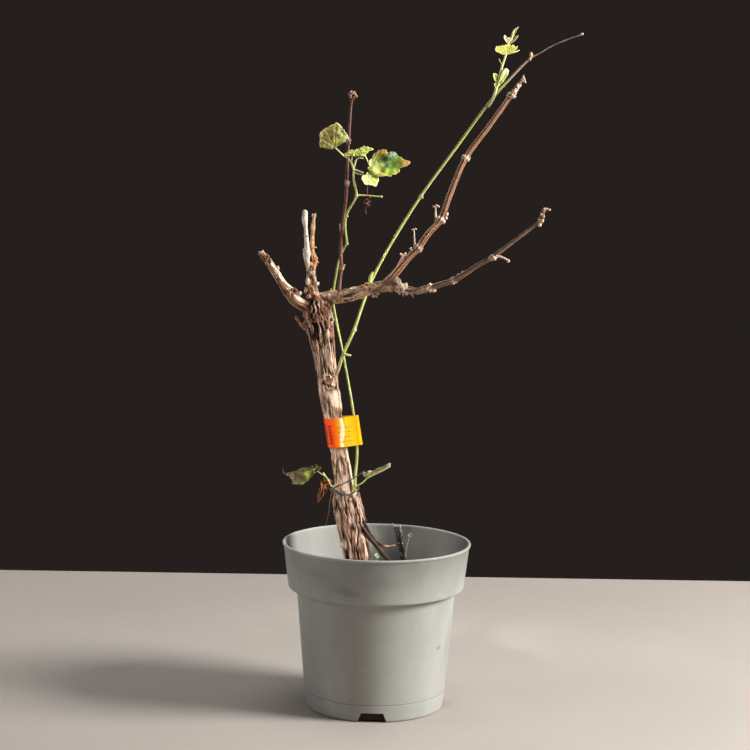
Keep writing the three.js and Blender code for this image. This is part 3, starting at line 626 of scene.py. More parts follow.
def plain(tone, depth=0.08):
    """A thin stalk, nearly smooth."""

    def relief(ring, turn):
        rough = noise.noise(spot_on(ring, turn) / 1.8 + ring.centre / 31)
        return depth * rough, 0.2 + 0.3 * rough, tone + 0.2 * rough

    return relief


# ---------- finishes ----------


class Nodes:
    """A node tree laid down node by node; every value is a number or another node's output."""

    def __init__(self, tree):
        self.tree = tree

    def feed(self, socket, value):
        if isinstance(value, bpy.types.NodeSocket):
            self.tree.links.new(value, socket)
        else:
            socket.default_value = value

    def node(self, kind, inputs=(), **settings):
        made = self.tree.nodes.new(kind)
        for name, value in settings.items():
            setattr(made, name, value)
        for name, value in dict(inputs).items():
            self.feed(made.inputs[name], value)
        return made

    def sum(self, way, first, second):
        return self.node("ShaderNodeMath", {0: first, 1: second}, operation=way).outputs[0]

    def vector_sum(self, way, first, second):
        return self.node("ShaderNodeVectorMath", {0: first, 1: second}, operation=way).outputs[0]

    def soft_step(self, value, low, high):
        inputs = {"Value": value, "From Min": low, "From Max": high}
        return self.node("ShaderNodeMapRange", inputs, interpolation_type="SMOOTHSTEP").outputs["Result"]


class Finish(Nodes):
    """A material round its Principled BSDF."""

    def __init__(self, name, roughness, specular):
        self.material = bpy.data.materials.new(name)
        self.material.use_nodes = True
        super().__init__(self.material.node_tree)
        self.surface = self.tree.nodes["Principled BSDF"]
        self.surface.inputs["Roughness"].default_value = roughness
        self.surface.inputs["Specular IOR Level"].default_value = specular

    def mark(self, name, output="Fac"):
        return self.node("ShaderNodeAttribute", attribute_name=name).outputs[output]

    def grain(self):
        return self.mark("grain", "Vector")

    def place(self):
        return self.node("ShaderNodeTexCoord").outputs["Object"]

    def noise(self, vector, scale, detail, roughness=0.55):
        inputs = {"Vector": vector, "Scale": scale, "Detail": detail, "Roughness": roughness}
        return self.node("ShaderNodeTexNoise", inputs).outputs["Fac"]

    def blend(self, share, first, second, way="MIX"):
        made = self.node("ShaderNodeMix", data_type="RGBA", blend_type=way)
        for socket, value in ((0, share), (6, first), (7, second)):
            self.feed(made.inputs[socket], value)
        return made.outputs[2]

    def stain(self, colour, mask, strength, stained):
        """The colour, turned to another as far as a mask and its strength say."""
        return self.blend(self.sum("MULTIPLY", mask, strength), colour, stained)

    def ramp(self, share, *stops):
        made = self.node("ShaderNodeValToRGB", {"Fac": share})
        elements = made.color_ramp.elements
        while len(elements) < len(stops):
            elements.new(0.5)
        for element, (position, colour) in zip(elements, stops):
            element.position = position
            element.color = colour
        return made.outputs["Color"]

    def span(self, value, low, high, bottom=0.0, top=1.0):
        inputs = {"Value": value, "From Min": low, "From Max": high, "To Min": bottom, "To Max": top}
        return self.node("ShaderNodeMapRange", inputs).outputs["Result"]

    def group(self, tree, inputs):
        return self.node("ShaderNodeGroup", inputs, node_tree=tree).outputs

    def dress(self, colour, height=None, distance=0.3, strength=0.6, roughness=None):
        """Gives the surface its colour, and bumps by a height that reach so many millimetres."""
        self.feed(self.surface.inputs["Base Color"], colour)
        if roughness is not None:
            self.feed(self.surface.inputs["Roughness"], roughness)
        if height is not None:
            inputs = {"Height": height, "Distance": distance * MM, "Strength": strength}
            self.feed(self.surface.inputs["Normal"], self.node("ShaderNodeBump", inputs).outputs["Normal"])
        return self.material


def new_group(name, vectors, floats, *outputs):
    """A shader group with its sockets: its nodes, what it is given and what it results in."""
    tree = bpy.data.node_groups.new(name, "ShaderNodeTree")
    for sockets, kind in ((vectors, "NodeSocketVector"), (floats, "NodeSocketFloat")):
        for socket in sockets:
            tree.interface.new_socket(socket, in_out="INPUT", socket_type=kind)
    for socket in outputs:
        tree.interface.new_socket(socket, in_out="OUTPUT", socket_type="NodeSocketFloat")
    made = Nodes(tree)
    return made, made.node("NodeGroupInput").outputs, made.node("NodeGroupOutput").inputs


def long_fibres():
    """Noise drawn out along the grain: fine fibres, and broader blotches that run with them."""
    made, given, result = new_group("long_fibres", ("Grain",), ("Fineness", "Stretch"), "Fibres", "Blotches")
    scale = made.node("ShaderNodeCombineXYZ", {"X": 1, "Y": 1, "Z": made.sum("DIVIDE", 1, given["Stretch"])})
    drawn = made.vector_sum("MULTIPLY", given["Grain"], scale.outputs[0])
    for output, share, detail in (("Fibres", 1, 4), ("Blotches", 0.16, 2)):
        size = made.sum("MULTIPLY", given["Fineness"], share)
        cloud = made.node("ShaderNodeTexNoise", {"Vector": drawn, "Scale": size, "Detail": detail})
        made.feed(result[output], cloud.outputs["Fac"])
    return made.tree


def speckles():
    """A mask of scattered flecks: 1 on a fleck, and 0 between them."""
    made, given, result = new_group("speckles", ("Place",), ("Size", "Cover"), "Mask")
    inputs = {"Vector": given["Place"], "Scale": given["Size"], "Detail": 3}
    cloud = made.node("ShaderNodeTexNoise", inputs).outputs["Fac"]
    edge = made.sum("SUBTRACT", 1, given["Cover"])
    made.feed(result["Mask"], made.soft_step(cloud, edge, made.sum("ADD", edge, 0.08)))
    return made.tree


def blot():
    """A mask for one mark with a ragged edge: 1 at its centre and 0 past its half sizes."""
    made, given, result = new_group("blot", ("Place", "Centre", "Size"), (), "Mask")
    off = made.vector_sum("SUBTRACT", given["Place"], given["Centre"])
    scaled = made.vector_sum("DIVIDE", off, given["Size"])
    reach = made.node("ShaderNodeVectorMath", {0: scaled}, operation="LENGTH").outputs["Value"]
    inputs = {"Vector": given["Place"], "Scale": 260, "Detail": 4}
    ragged = made.node("ShaderNodeTexNoise", inputs).outputs["Fac"]
    made.feed(result["Mask"], made.soft_step(made.sum("ADD", reach, ragged), 1.8, 0.6))
    return made.tree


FIBRES = long_fibres()
SPECKLES = speckles()
BLOT = blot()
WHITE = tint(255, 255, 255)


def wood(
    name, furrow, ridge, body, other_ridge, other_body, fineness=1.3, stretch=10, roughness=0.9, gloss=0.25,
):
    """Bark or bare wood: two palettes of ridge and body picked by tone; pale on ridges, dark in hollows,
    partly as painted light and shade.
    """
    made = Finish(name, roughness, gloss)
    hollow, tone = made.mark("hollow"), made.mark("tone")
    fibres = made.group(FIBRES, {"Grain": made.grain(), "Fineness": fineness, "Stretch": stretch})
    streak = fibres["Fibres"]
    deep = made.sum("ADD", hollow, made.span(streak, 0.35, 0.7, 0.14, -0.14))
    palettes = []
    for raised, between_them in ((ridge, body), (other_ridge, other_body)):
        low, middle = tint(*furrow), tint(*between_them)
        dark = tuple(0.35 * a + 0.65 * b for a, b in zip(middle, low))
        palettes.append(made.ramp(deep, (0.0, tint(*raised)), (0.28, middle), (0.62, dark), (0.95, low)))
    picked = made.sum("ADD", tone, made.span(fibres["Blotches"], 0.3, 0.7, -0.25, 0.25))
    colour = made.blend(made.span(picked, 0.25, 0.75), *palettes)
    shade = made.ramp(streak, (0.3, tint(150, 140, 132)), (0.62, WHITE))
    colour = made.blend(0.55, colour, shade, "MULTIPLY")
    return made.dress(colour, streak, 0.6, 0.8)


def bark_finish():
    return wood(
        "shaggy_bark", (38, 18, 11), (240, 214, 190), (208, 172, 144), (172, 122, 98), (126, 82, 62),
    )


def arm_finish():
    return wood(
        "gnarled_bark", (42, 20, 12), (242, 220, 194), (212, 176, 146), (230, 180, 144), (184, 130, 98),
        fineness=1.6,
    )


def stripped_finish():
    return wood(
        "stripped_wood", (44, 22, 14), (238, 222, 200), (212, 184, 156), (172, 124, 94), (124, 80, 56),
        stretch=16,
    )


def grey_wood_finish():
    return wood(
        "grey_wood", (60, 42, 34), (246, 236, 222), (220, 204, 186), (206, 178, 154), (156, 118, 94),
        stretch=14, roughness=0.85,
    )


def tan_wood_finish():
    return wood(
        "tan_wood", (58, 28, 18), (226, 168, 124), (184, 118, 76), (246, 216, 178), (222, 170, 122),
        stretch=14, roughness=0.85,
    )


def long_cane_finish():
    return wood(
        "long_cane_bark", (56, 28, 18), (196, 144, 108), (144, 94, 62), (246, 220, 198), (216, 172, 146),
        fineness=1.1, stretch=22, roughness=0.4, gloss=0.7,
    )


def low_cane_finish():
    return wood(
        "low_cane_bark", (56, 30, 22), (184, 148, 124), (132, 96, 74), (248, 222, 200), (220, 170, 140),
        fineness=1.1, stretch=22, roughness=0.45, gloss=0.6,
    )


def thin_cane_finish():
    return wood(
        "thin_cane_bark", (46, 22, 16), (158, 100, 70), (108, 60, 40), (230, 192, 166), (196, 144, 118),
        fineness=1.1, stretch=22, roughness=0.48, gloss=0.4,
    )


def root_finish():
    return wood(
        "dark_root", (12, 7, 5), (70, 48, 38), (40, 26, 20), (200, 160, 132), (140, 96, 70),
        stretch=18, roughness=0.6,
    )


def splinter_finish():
    return wood(
        "black_splinter", (10, 9, 9), (70, 64, 62), (36, 31, 30), (226, 222, 216), (150, 144, 138),
        stretch=6, roughness=0.7,
    )


def tendril_finish():
    return wood(
        "dry_tendril", (50, 24, 18), (168, 112, 92), (126, 70, 54), (226, 212, 200), (176, 156, 142),
        stretch=10,
    )


def shoot_finish(name, ridge, body, shade):
    """Green stems, paler on their ridges and darker in their grooves, partly as painted light and shade, and
    buff where the shoot has ripened.
    """
    made = Finish(name, 0.5, 0.4)
    hollow, tone = made.mark("hollow"), made.mark("tone")
    fibres = made.group(FIBRES, {"Grain": made.grain(), "Fineness": 1.2, "Stretch": 20})["Fibres"]
    deep = made.sum("ADD", hollow, made.span(fibres, 0.35, 0.7, 0.12, -0.12))
    green = made.ramp(deep, (0.0, tint(*ridge)), (0.35, tint(*body)), (0.9, tint(*shade)))
    ripe = made.ramp(hollow, (0.0, tint(216, 192, 166)), (0.8, tint(140, 104, 80)))
    return made.dress(made.blend(made.span(tone, 0.3, 0.8), green, ripe), fibres, 0.15, 0.4)


def leaf_finish(name, vein, edge, edge_from=0.93, vein_share=0.6, roughness=0.45, mottled=0.35):
    """A leaf blade: its own paint, mottled, with veins and a margin of their own colours."""
    made = Finish(name, roughness, 0.9 - roughness)
    grain = made.grain()
    cloud = made.noise(grain, 0.35, 4, 0.65)
    fine = made.noise(grain, 0.9, 3)
    mottle = made.ramp(cloud, (0.32, tint(186, 192, 170)), (0.58, WHITE))
    colour = made.blend(mottled, made.mark("paint", "Color"), mottle, "MULTIPLY")
    colour = made.stain(colour, made.mark("hollow"), vein_share, tint(*vein))
    rim = made.node("ShaderNodeSeparateXYZ", {"Vector": grain}).outputs["Z"]
    ragged = made.sum("ADD", rim, made.span(fine, 0.3, 0.7, -0.04, 0.04))
    colour = made.blend(made.span(ragged, edge_from, edge_from + 0.05), colour, tint(*edge))
    return made.dress(colour, fine, 0.15, 0.6)


def pot_finish():
    """Matt grey plastic: scuffs, dull smudges on the collar and a few brown stains, with painted shade on the
    inner wall and along the foot's groove.

    Each single stain is given as its centre and half sizes in metres, its strength and colour.
    """
    made = Finish("grey_pot_plastic", 0.55, 0.4)
    place = made.place()
    flow = made.node("ShaderNodeMapping", {"Vector": place, "Scale": (1, 1, 0.25)}).outputs["Vector"]
    cloud = made.noise(place, 9, 3)
    streak = made.noise(flow, 26, 4)
    colour = made.ramp(cloud, (0.35, tint(154, 154, 149)), (0.65, tint(166, 167, 161)))
    streaks = made.ramp(streak, (0.38, tint(228, 228, 226)), (0.6, WHITE))
    colour = made.blend(0.5, colour, streaks, "MULTIPLY")
    smudge = made.group(SPECKLES, {"Place": flow, "Size": 14.0, "Cover": 0.38})["Mask"]
    colour = made.stain(colour, smudge, 0.28, tint(108, 108, 104))
    rub = made.group(SPECKLES, {"Place": place, "Size": 60.0, "Cover": 0.33})["Mask"]
    colour = made.stain(colour, rub, 0.14, tint(198, 198, 194))
    for centre, size, strength, stain in (
        ((-0.038, -0.1, 0.156), (0.02, 0.02, 0.006), 0.3, tint(78, 78, 76)),
        ((-0.026, -0.1, 0.152), (0.012, 0.02, 0.004), 0.3, tint(78, 78, 76)),
        ((0.008, -0.105, 0.166), (0.024, 0.02, 0.009), 0.2, tint(90, 90, 88)),
        ((-0.07, -0.08, 0.172), (0.016, 0.03, 0.008), 0.24, tint(90, 90, 88)),
        ((-0.05, -0.09, 0.164), (0.03, 0.03, 0.012), 0.14, tint(84, 84, 80)),
        ((0.073, -0.053, 0.08), (0.003, 0.02, 0.003), 0.4, tint(60, 54, 50)),
        ((0.074, -0.051, 0.068), (0.003, 0.02, 0.003), 0.3, tint(196, 146, 104)),
        ((0.073, -0.05, 0.046), (0.003, 0.02, 0.003), 0.3, tint(196, 146, 104)),
        ((0.052, -0.099, 0.188), (0.004, 0.02, 0.0012), 0.35, tint(232, 232, 228)),
        ((-0.06, -0.065, 0.05), (0.014, 0.03, 0.0016), 0.2, tint(118, 118, 114)),
        ((0.02, -0.09, 0.085), (0.008, 0.03, 0.0012), 0.14, tint(206, 206, 200)),
        ((-0.016, -0.09, 0.062), (0.005, 0.03, 0.0018), 0.2, tint(206, 206, 200)),
        ((0.016, -0.09, 0.072), (0.0014, 0.03, 0.0014), 0.3, tint(212, 212, 206)),
        ((0.0, -0.1, 0.1385), (0.03, 0.02, 0.0022), 0.2, tint(186, 160, 132)),
    ):
        inputs = {"Place": place, "Centre": centre, "Size": size}
        colour = made.stain(colour, made.group(BLOT, inputs)["Mask"], strength, stain)
    # Painted shade: the hollow mark darkens the inner wall and the groove round the foot.
    colour = made.blend(made.mark("hollow"), colour, tint(86, 85, 80))
    grit = made.noise(place, 900, 2)
    shine = made.span(made.noise(place, 30, 3), 0.3, 0.7, 0.46, 0.62)
    return made.dress(colour, grit, 0.05, 0.35, shine)


def mix_finish():
    """Dark crumbly potting mix with paler bits of fibre in it."""
    made = Finish("dark_potting_mix", 0.95, 0.2)
    place = made.place()
    cloud = made.noise(place, 240, 5, 0.65)
    colour = made.ramp(cloud, (0.3, tint(22, 15, 11)), (0.55, tint(52, 37, 28)), (0.75, tint(92, 70, 52)))
    bits = made.group(SPECKLES, {"Place": place, "Size": 420.0, "Cover": 0.33})["Mask"]
    colour = made.stain(colour, bits, 0.6, tint(150, 124, 96))
    return made.dress(colour, cloud, 1.2, 0.9)


def wire_finish():
    """Dark plastic-coated wire, scratched paler along its turns."""
    made = Finish("dark_tie_wire", 0.4, 0.5)
    fibres = made.group(FIBRES, {"Grain": made.grain(), "Fineness": 1.5, "Stretch": 8})["Fibres"]
    colour = made.ramp(fibres, (0.4, tint(38, 37, 38)), (0.68, tint(112, 110, 110)))
    return made.dress(colour, fibres, 0.1, 0.4)


def band_finish():
    """Glossy tape that runs from red-orange round the trunk to yellow on its free side."""
    made = Finish("glossy_band", 0.3, 0.15)
    made.surface.inputs["Coat Weight"].default_value = 0.6
    made.surface.inputs["Coat Roughness"].default_value = 0.04
    cloud = made.noise(made.grain(), 0.12, 2)
    spot = made.sum("ADD", made.mark("tone"), made.span(cloud, 0.3, 0.7, -0.03, 0.03))
    colour = made.ramp(
        spot,
        (0.0, tint(232, 64, 6)), (0.22, tint(250, 86, 6)), (0.34, tint(252, 128, 12)),
        (0.44, tint(252, 184, 38)), (0.62, tint(248, 202, 36)), (0.78, tint(252, 196, 22)),
        (1.0, tint(250, 158, 8)),
    )
    return made.dress(colour, cloud, 0.2, 0.2)


def print_finish():
    """The worn rows of plain marks on the band."""
    made = Finish("band_marks", 0.4, 0.4)
    cloud = made.noise(made.grain(), 1.5, 3)
    spot = made.mark("tone")
    colour = made.ramp(spot, (0.3, tint(120, 14, 8)), (0.5, tint(206, 140, 26)))
    worn_off = made.ramp(cloud, (0.4, tint(200, 200, 200)), (0.6, WHITE))
    return made.dress(made.blend(0.6, colour, worn_off, "MULTIPLY"))


# ---------- handing a piece over ----------


def placed(name, data):
    """A new object for the data, in the scene."""
    made = bpy.data.objects.new(name, data)
    bpy.context.scene.collection.objects.link(made)
    return made


def formed(name, mesh):
    """The mesh as a new object."""
    data = bpy.data.meshes.new(name)
    mesh.to_mesh(data)
    mesh.free()
    return placed(name, data)


def piece(name, mesh, finishes, slot, *nodes):
    """Makes the mesh an object that rides with the plant and stands for the given CAD nodes."""
    for face in mesh.faces:
        face.smooth = True
    made = formed(name, mesh)
    for finish in finishes:
        made.data.materials.append(finish)
    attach(made, "root")
    if nodes:
        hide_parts(*nodes)
    return made


# ---------- old wood ----------


TRUNK_ROUGHNESS = (  # heights and how rough the trunk is there
    (160, 0.95), (236, 0.85), (262, 0.55), (300, 0.5), (352, 0.45), (372, 0.65), (400, 0.8), (440, 1.0),
    (456, 1.2),
)


def trunk_zone(ring):
    """How rough the trunk is at a ring, and how wild: smooth in its middle, shaggy at foot and head."""
    return along_steps(TRUNK_ROUGHNESS, ring.centre.z), smoothstep(436, 458, ring.centre.z)


def trunk_tone(ring, turn, tone):
    """Paler on the trunk's front, right and lower half, browner on its left, its back and its head; the paler
    front and right are partly painted light.
    """
    lit = 0.5 + 0.5 * cos(turn - radians(30))
    height = ring.centre.z
    head = smoothstep(366, 400, height)
    tone = tone * between(0.5, 0.9, head) + between(0.3, 0.45, head) * (1 - lit) - 0.05
    tone += 0.13 * smoothstep(324, 346, height) - 0.1 * smoothstep(330, 290, height)
    return tone + 0.2 * head + 0.3 * smoothstep(430, 460, height)


def trunk(finish):
    mesh = new_mesh()
    limb = Limb(TRUNK, 1.0)
    relief = shaggy(
        3, (5, 46), (1.6, 20), 1.5, 0.85, 0.28, 0.7, trunk_zone, TRUNK_FURROWS, TRUNK_BURR, trunk_tone
    )
    skin(mesh, limb, 156, relief)
    draw = random.Random(4)
    splinter = Limb(HEAD_SPLINTER, 0.8)
    skin(mesh, splinter, 14, worn(5, 0.3, 0.6, 0.3, lambda ring, turn, hollow, tone: (hollow, 0.75)))
    nub = Limb(SHOULDER_NUB, 0.6)
    skin(mesh, nub, 22, worn(6, 0.4, 0.8, 0.5, lambda ring, turn, hollow, tone: (hollow, 0.2)))
    whorl(mesh, (-56.6, -9.5, 452.4), (0.45, -1, 0.1), 2.6, 1.3, 0.05, draw)
    knob(mesh, (-60, -11, 436), (2.6, 1.8, 5.4), 0.0, draw, 0.12)
    for place, size in (
        ((-79, -8, 452), (4.5, 4, 5)), ((-84, -3, 446), (4, 4, 5)), ((-66, -11.5, 464), (4.5, 3.6, 4)),
        ((-72, -12.5, 456), (4, 3.4, 5)), ((-60.5, -6, 466), (3.6, 4, 4)), ((-73, 11, 462), (5, 4.5, 5)),
        ((-60, 9, 458), (4, 4, 4.5)), ((-85, 6, 458), (4, 4, 4.5)),
    ):
        knob(mesh, place, size, 0.7, draw, 0.9, 3)
    piece("trunk_bark", mesh, [finish], "bark", "trunk")


def trunk_strips(finish):
    mesh = new_mesh()
    limb = Limb(TRUNK, 1.0)
    top = limb.length
    for seed, count, zone, turns, lengths, widths, curl in (
        (11, 46, (10, 112), (-180, 180), (10, 34), (0.8, 2), 0.8),
        (16, 26, (112, 236), (-180, 180), (8, 26), (0.6, 1.4), 0.5),
        (17, 40, (262, top - 36), (-180, 180), (14, 44), (0.8, 2.2), 0.9),
        (12, 80, (top - 52, top - 4), (-180, 180), (7, 22), (0.9, 2.4), 2.0),
        (13, 16, (84, 128), (48, 100), (12, 32), (0.8, 1.8), 1.6),
        (14, 16, (70, 128), (-120, -60), (10, 24), (0.8, 1.8), 1.4),
    ):
        peelings(mesh, limb, seed, count, zone, turns, lengths, widths, curl)
    piece("trunk_strips", mesh, [finish], "bark")


def crust(mesh, spots, draw):
    """Lumps of bark, given as place, size, tone and roughness; a roughness left out is 0.5."""
    for place, size, tone, *roughness in spots:
        knob(mesh, place, size, tone, draw, *roughness or (0.5,))


def arm(finish):
    mesh = new_mesh()
    limb = Limb(ARM, 0.9)
    skin(mesh, limb, 96, shaggy(
        21, (4.4, 36), (1.6, 16), 1.5, 1.0, 0.3, 1.5, lambda ring: (0.75, 0.15),
        # the shade makes the bark paler on its upper side and browner below, partly as painted light from
        # above
        shade=lambda ring, turn, tone: tone * 0.5 + 0.4 * smoothstep(-0.1, 0.7, sin(turn)) - 0.2,
    ))
    draw = random.Random(22)
    peelings(mesh, limb, 23, 46, (14, limb.length - 12), (-180, 180), (8, 24), (0.8, 2), 0.9)
    crust(mesh, (
        ((-15.5, -20.5, 494), (3, 2.4, 2.4), 0.9, 0.9), ((-17.5, -20.5, 489), (2.6, 2.4, 3), 1, 0.9),
        ((-13.5, -23.5, 484), (3, 2.4, 2.6), 0.9, 0.9), ((-12, -24.5, 490), (2.4, 2, 2.6), 0.6, 0.9),
        ((12, -31, 492), (5, 4, 4.4), 0.1, 0.5), ((19, -34, 492), (4, 3.6, 4.8), 0.3, 0.9),
        ((23, -35, 490), (3.4, 3, 3.4), 0.6, 0.9), ((16.5, -36, 500), (2.8, 2.2, 4), 0.3, 0.9),
        ((-46.5, -8.4, 479.5), (3.4, 2.8, 5.2), 0.6, 0.5), ((-49.5, -8, 474.5), (2.6, 2, 2.2), 0.8, 0.9),
        ((-60, -7.5, 479), (3, 2, 3), 0.5, 0.9), ((-33, -12.4, 476.5), (4, 2, 2.4), 0.7, 0.8),
    ), draw)
    piece("arm_bark", mesh, [finish], "bark", "arm")


def arm_shreds(finish):
    """The torn pale fibres at the arm's end, and the yellowish bits that hang under it."""
    mesh = new_mesh()
    draw = random.Random(25)
    shreds(mesh, (18.5, -37, 502), (0.5, -0.15, -0.8), draw, 14, (5, 11), (0.8, 1.8), 0.35, 0.1)
    shreds(mesh, (22.5, -38, 493), (0.5, -0.1, -0.7), draw, 12, (3, 7), (0.8, 1.8), 0.6, 0.1)
    shreds(mesh, (17, -37, 502), (0.1, -0.2, 1), draw, 6, (2, 4), (0.8, 1.6), 0.7, 0.1)
    for i in range(16):
        place = (19 + i * 1.2, -37 - 0.2 * i, 488 - 0.1 * i)
        shreds(mesh, place, (0.5, -0.2, -0.6), draw, 1, (2, 5), (0.7, 1.5), 0.6, 0.25)
    for place, size in (
        ((-22, -17, 479), 1.5), ((-20.6, -18, 480.6), 1.1), ((-8, -25, 481), 1.5), ((-5.7, -26, 482.6), 1.2),
        ((-3, -27, 484), 1.4), ((-4.6, -26, 480.6), 1), ((-6, -27.6, 494), 1.3), ((-9, -25.5, 483), 1.1),
    ):
        knob(mesh, place, (size * 1.2, size, size), 0.0, draw, 0.6)
    piece("arm_shreds", mesh, [finish], "stripped_wood")


def left_stub_tone(ring, turn, hollow, tone):
    """Pale along its upper side, partly bare wood and partly painted light, with the old bark left on its
    lower one.
    """
    wander = 0.5 * noise.noise(spot_on(ring, turn) / 6)
    pale = smoothstep(0.0, 0.35, sin(turn) + 0.5 * wander)
    pale *= 1 - 0.85 * smoothstep(0.8, 0.86, ring.share)
    near_end = smoothstep(0.985, 0.995, ring.share)
    foot = smoothstep(0.4, 0.2, ring.share) * smoothstep(0.75, 0.3, sin(turn))
    return hollow, between(tone * 0.4 + 0.6, 0.05, max(pale * (1 - foot), near_end))


def left_stub(finish):
    mesh = new_mesh()
    limb = Limb(LEFT_STUB, 0.9)
    skin(mesh, limb, 76, worn(31, 0.6, 0.9, 0.9, left_stub_tone), 0.0)
    knot = Limb(LEFT_STUB_KNOT, 0.6)
    skin(mesh, knot, 24, worn(32, 0.5, 0.6, 0.6, lambda ring, turn, hollow, tone: (hollow, 0.7)))
    draw = random.Random(33)
    whorl(mesh, (-98.8, -15.6, 485), (0.35, -1, 0.35), 3, 1.3, 0.75, draw, 11)
    whorl(mesh, (-130, -23.4, 524), (0.3, -1, 0.2), 1.9, 1.1, 0.8, draw, 8)
    whorl(mesh, (-138.2, -22.5, 529), (-0.4, -1, 0.5), 0.9, 0.6, 0.1, draw, 6)
    crust(mesh, (
        ((-118, -16.5, 511), (2.2, 2, 2.8), 0.1, 0.4), ((-119.6, -17.5, 500.6), (2, 2, 2.4), 0.7, 0.6),
        ((-126.4, -22, 519.6), (2.2, 1.4, 3), 0.75, 0.6), ((-133.4, -22, 521.4), (1.6, 1.6, 3), 0.8, 0.6),
        ((-93, -10.5, 482), (3, 2, 2.4), 0.2, 0.5), ((-105, -18.5, 481), (2.4, 1.6, 2.8), 0.8, 0.7),
    ), draw)
    peelings(mesh, limb, 34, 22, (6, limb.length - 10), (-150, 10), (8, 22), (0.7, 1.8), 0.7)
    piece("left_stub_wood", mesh, [finish], "stripped_wood", "left_stub")


def upright_stub(finish):
    mesh = new_mesh()
    limb = Limb(UPRIGHT_STUB, 0.7)
    skin(mesh, limb, 84, shaggy(41, (3.6, 20), (1.5, 11), 1.3, 0.9, 0.3, 1.2, lambda ring: (0.6, 0.2)))
    lump = Limb(UPRIGHT_STUB_LUMP, 0.6)
    skin(mesh, lump, 22, worn(42, 0.4, 0.6, 0.6))
    draw = random.Random(43)
    crust(mesh, (
        ((-73.6, -0.5, 493), (2.8, 2.4, 3), 0.2, 0.5), ((-84, -3, 496), (2.4, 2.4, 5), 0.0, 0.4),
        ((-78, -4, 505), (2.6, 2.2, 3.4), 0.4, 0.8), ((-85.4, 1, 485), (2.6, 3, 4), 0.5, 0.8),
        ((-76, -4.5, 481), (4, 3, 4), 0.7, 0.8), ((-82, -3.6, 478), (3.4, 3, 3.6), 0.6, 0.8),
    ), draw)
    peelings(mesh, limb, 44, 30, (8, limb.length - 3), (-180, 180), (6, 14), (0.8, 2), 1.0)
    piece("upright_stub_bark", mesh, [finish], "bark", "upright_stub")


def grey_spur(finish):
    mesh = new_mesh()
    limb = Limb(GREY_SPUR, 0.7)

    def shade(ring, turn, hollow, tone):
        return hollow * 0.7, tone * smoothstep(0.3, 0.1, ring.share)

    skin(mesh, limb, 40, worn(51, 0.3, 0.4, 0.5, shade), 0.1)
    draw = random.Random(52)
    crust(mesh, (
        ((-85.8, -4, 547.6), (2.7, 2.2, 1.3), 1, 0.6), ((-84.4, -2.6, 527.4), (3.5, 2.6, 6), 0.0, 0.25),
        ((-89.4, -5, 571), (1.6, 1.6, 3.4), 0.0, 0.4), ((-87.9, -5.4, 575.4), (2.5, 2.2, 2.6), 0.0, 0.4),
        ((-88.6, -2, 531), (1.4, 1.2, 2.6), 0.2, 0.5),
    ), draw)
    piece("grey_spur_wood", mesh, [finish], "grey_wood", "grey_spur")


def tan_spur(finish):
    mesh = new_mesh()
    limb = Limb(TAN_SPUR, 0.7)

    def shade(ring, turn, hollow, tone):
        top = smoothstep(0.68, 0.82, ring.share)
        streak = smoothstep(0.1, 0.5, noise.noise(spot_on(ring, turn) / 3) + 0.3 * sin(turn))
        return hollow, between(tone * 0.6 + 0.5 * streak, 1, top)

    skin(mesh, limb, 40, worn(61, 0.4, 0.9, 0.7, shade), 1.0)
    draw = random.Random(62)
    crust(mesh, (
        ((-75.8, 5, 534.6), (1.4, 1.2, 1), 0.9, 0.3), ((-76, 4.5, 517.5), (3.4, 3, 3.4), 0.2, 0.8),
        ((-80.5, 3.5, 514), (3, 2.6, 3), 0.3, 0.8), ((-74.4, 5, 521), (2, 2, 3), 0.2, 0.5),
        ((-79.6, 12, 571), (1.2, 1.6, 2.2), 1, 0.3), ((-76.6, 13, 571.4), (1.2, 1.6, 2.4), 1, 0.3),
    ), draw)
    peelings(mesh, limb, 63, 8, (2, limb.length - 26), (-120, 120), (6, 14), (0.7, 1.4), 0.6)
    piece("tan_spur_wood", mesh, [finish], "tan_wood", "tan_spur")


# ---------- canes ----------


def node_flakes(mesh, limb, seed):
    """Scars and flaking skin round the nodes of a cane that stand out."""
    draw = random.Random(seed)
    for knot, swell in limb.knots:
        for _ in range(round(4 * swell)):
            place, _, _ = limb.place(knot + draw.uniform(-2, 2), draw.uniform(-pi, pi), -0.2)
            size = [draw.uniform(0.7, 1.4) for _ in range(3)]
            knob(mesh, place, size, draw.uniform(0.5, 1), draw, 0.5)
        for _ in range(round(3 * swell)):
            reach = knot + draw.uniform(-5, 0)
            lifts = (draw.uniform(0, 0.6), draw.uniform(0.2, 1))
            length, turn = draw.uniform(3, 6), draw.uniform(-3.1, 3.1)
            peeling(mesh, limb, draw, reach, turn, length, 1.2, lifts, 0.8)


def cane(stops, spurs, seed, sides, old=0.0, ridges=7):
    """A ripened cane with its spurs, in shaggy bark up to a distance from its foot."""
    mesh = new_mesh()
    limb = Limb(stops, 1.1)
    ripened = striped(seed, limb, ridges, 0.1)
    shaggy_foot = shaggy(seed + 1, (3.2, 18), (1.5, 9), 1.1, 0.9, 0.25, 0.8,
                         shade=lambda ring, turn, tone: 0.35 + 0.6 * tone)
    relief = half_and_half(shaggy_foot, ripened, old - 6, old + 6) if old else ripened
    skin(mesh, limb, sides, relief, 0.3)

    def spur_shade(ring, turn, hollow, tone):
        return hollow, tone * 0.4 + 0.5

    for i, stops_of_spur in enumerate(spurs):
        skin(mesh, Limb(stops_of_spur, 0.7), 14, worn(seed + i, 0.2, 0.4, 0.4, spur_shade), 0.9)
    node_flakes(mesh, limb, seed + 50)
    return mesh, limb


def slimmer(stops, share):
    return [(x, y, z, radius * share, *swell) for x, y, z, radius, *swell in stops]


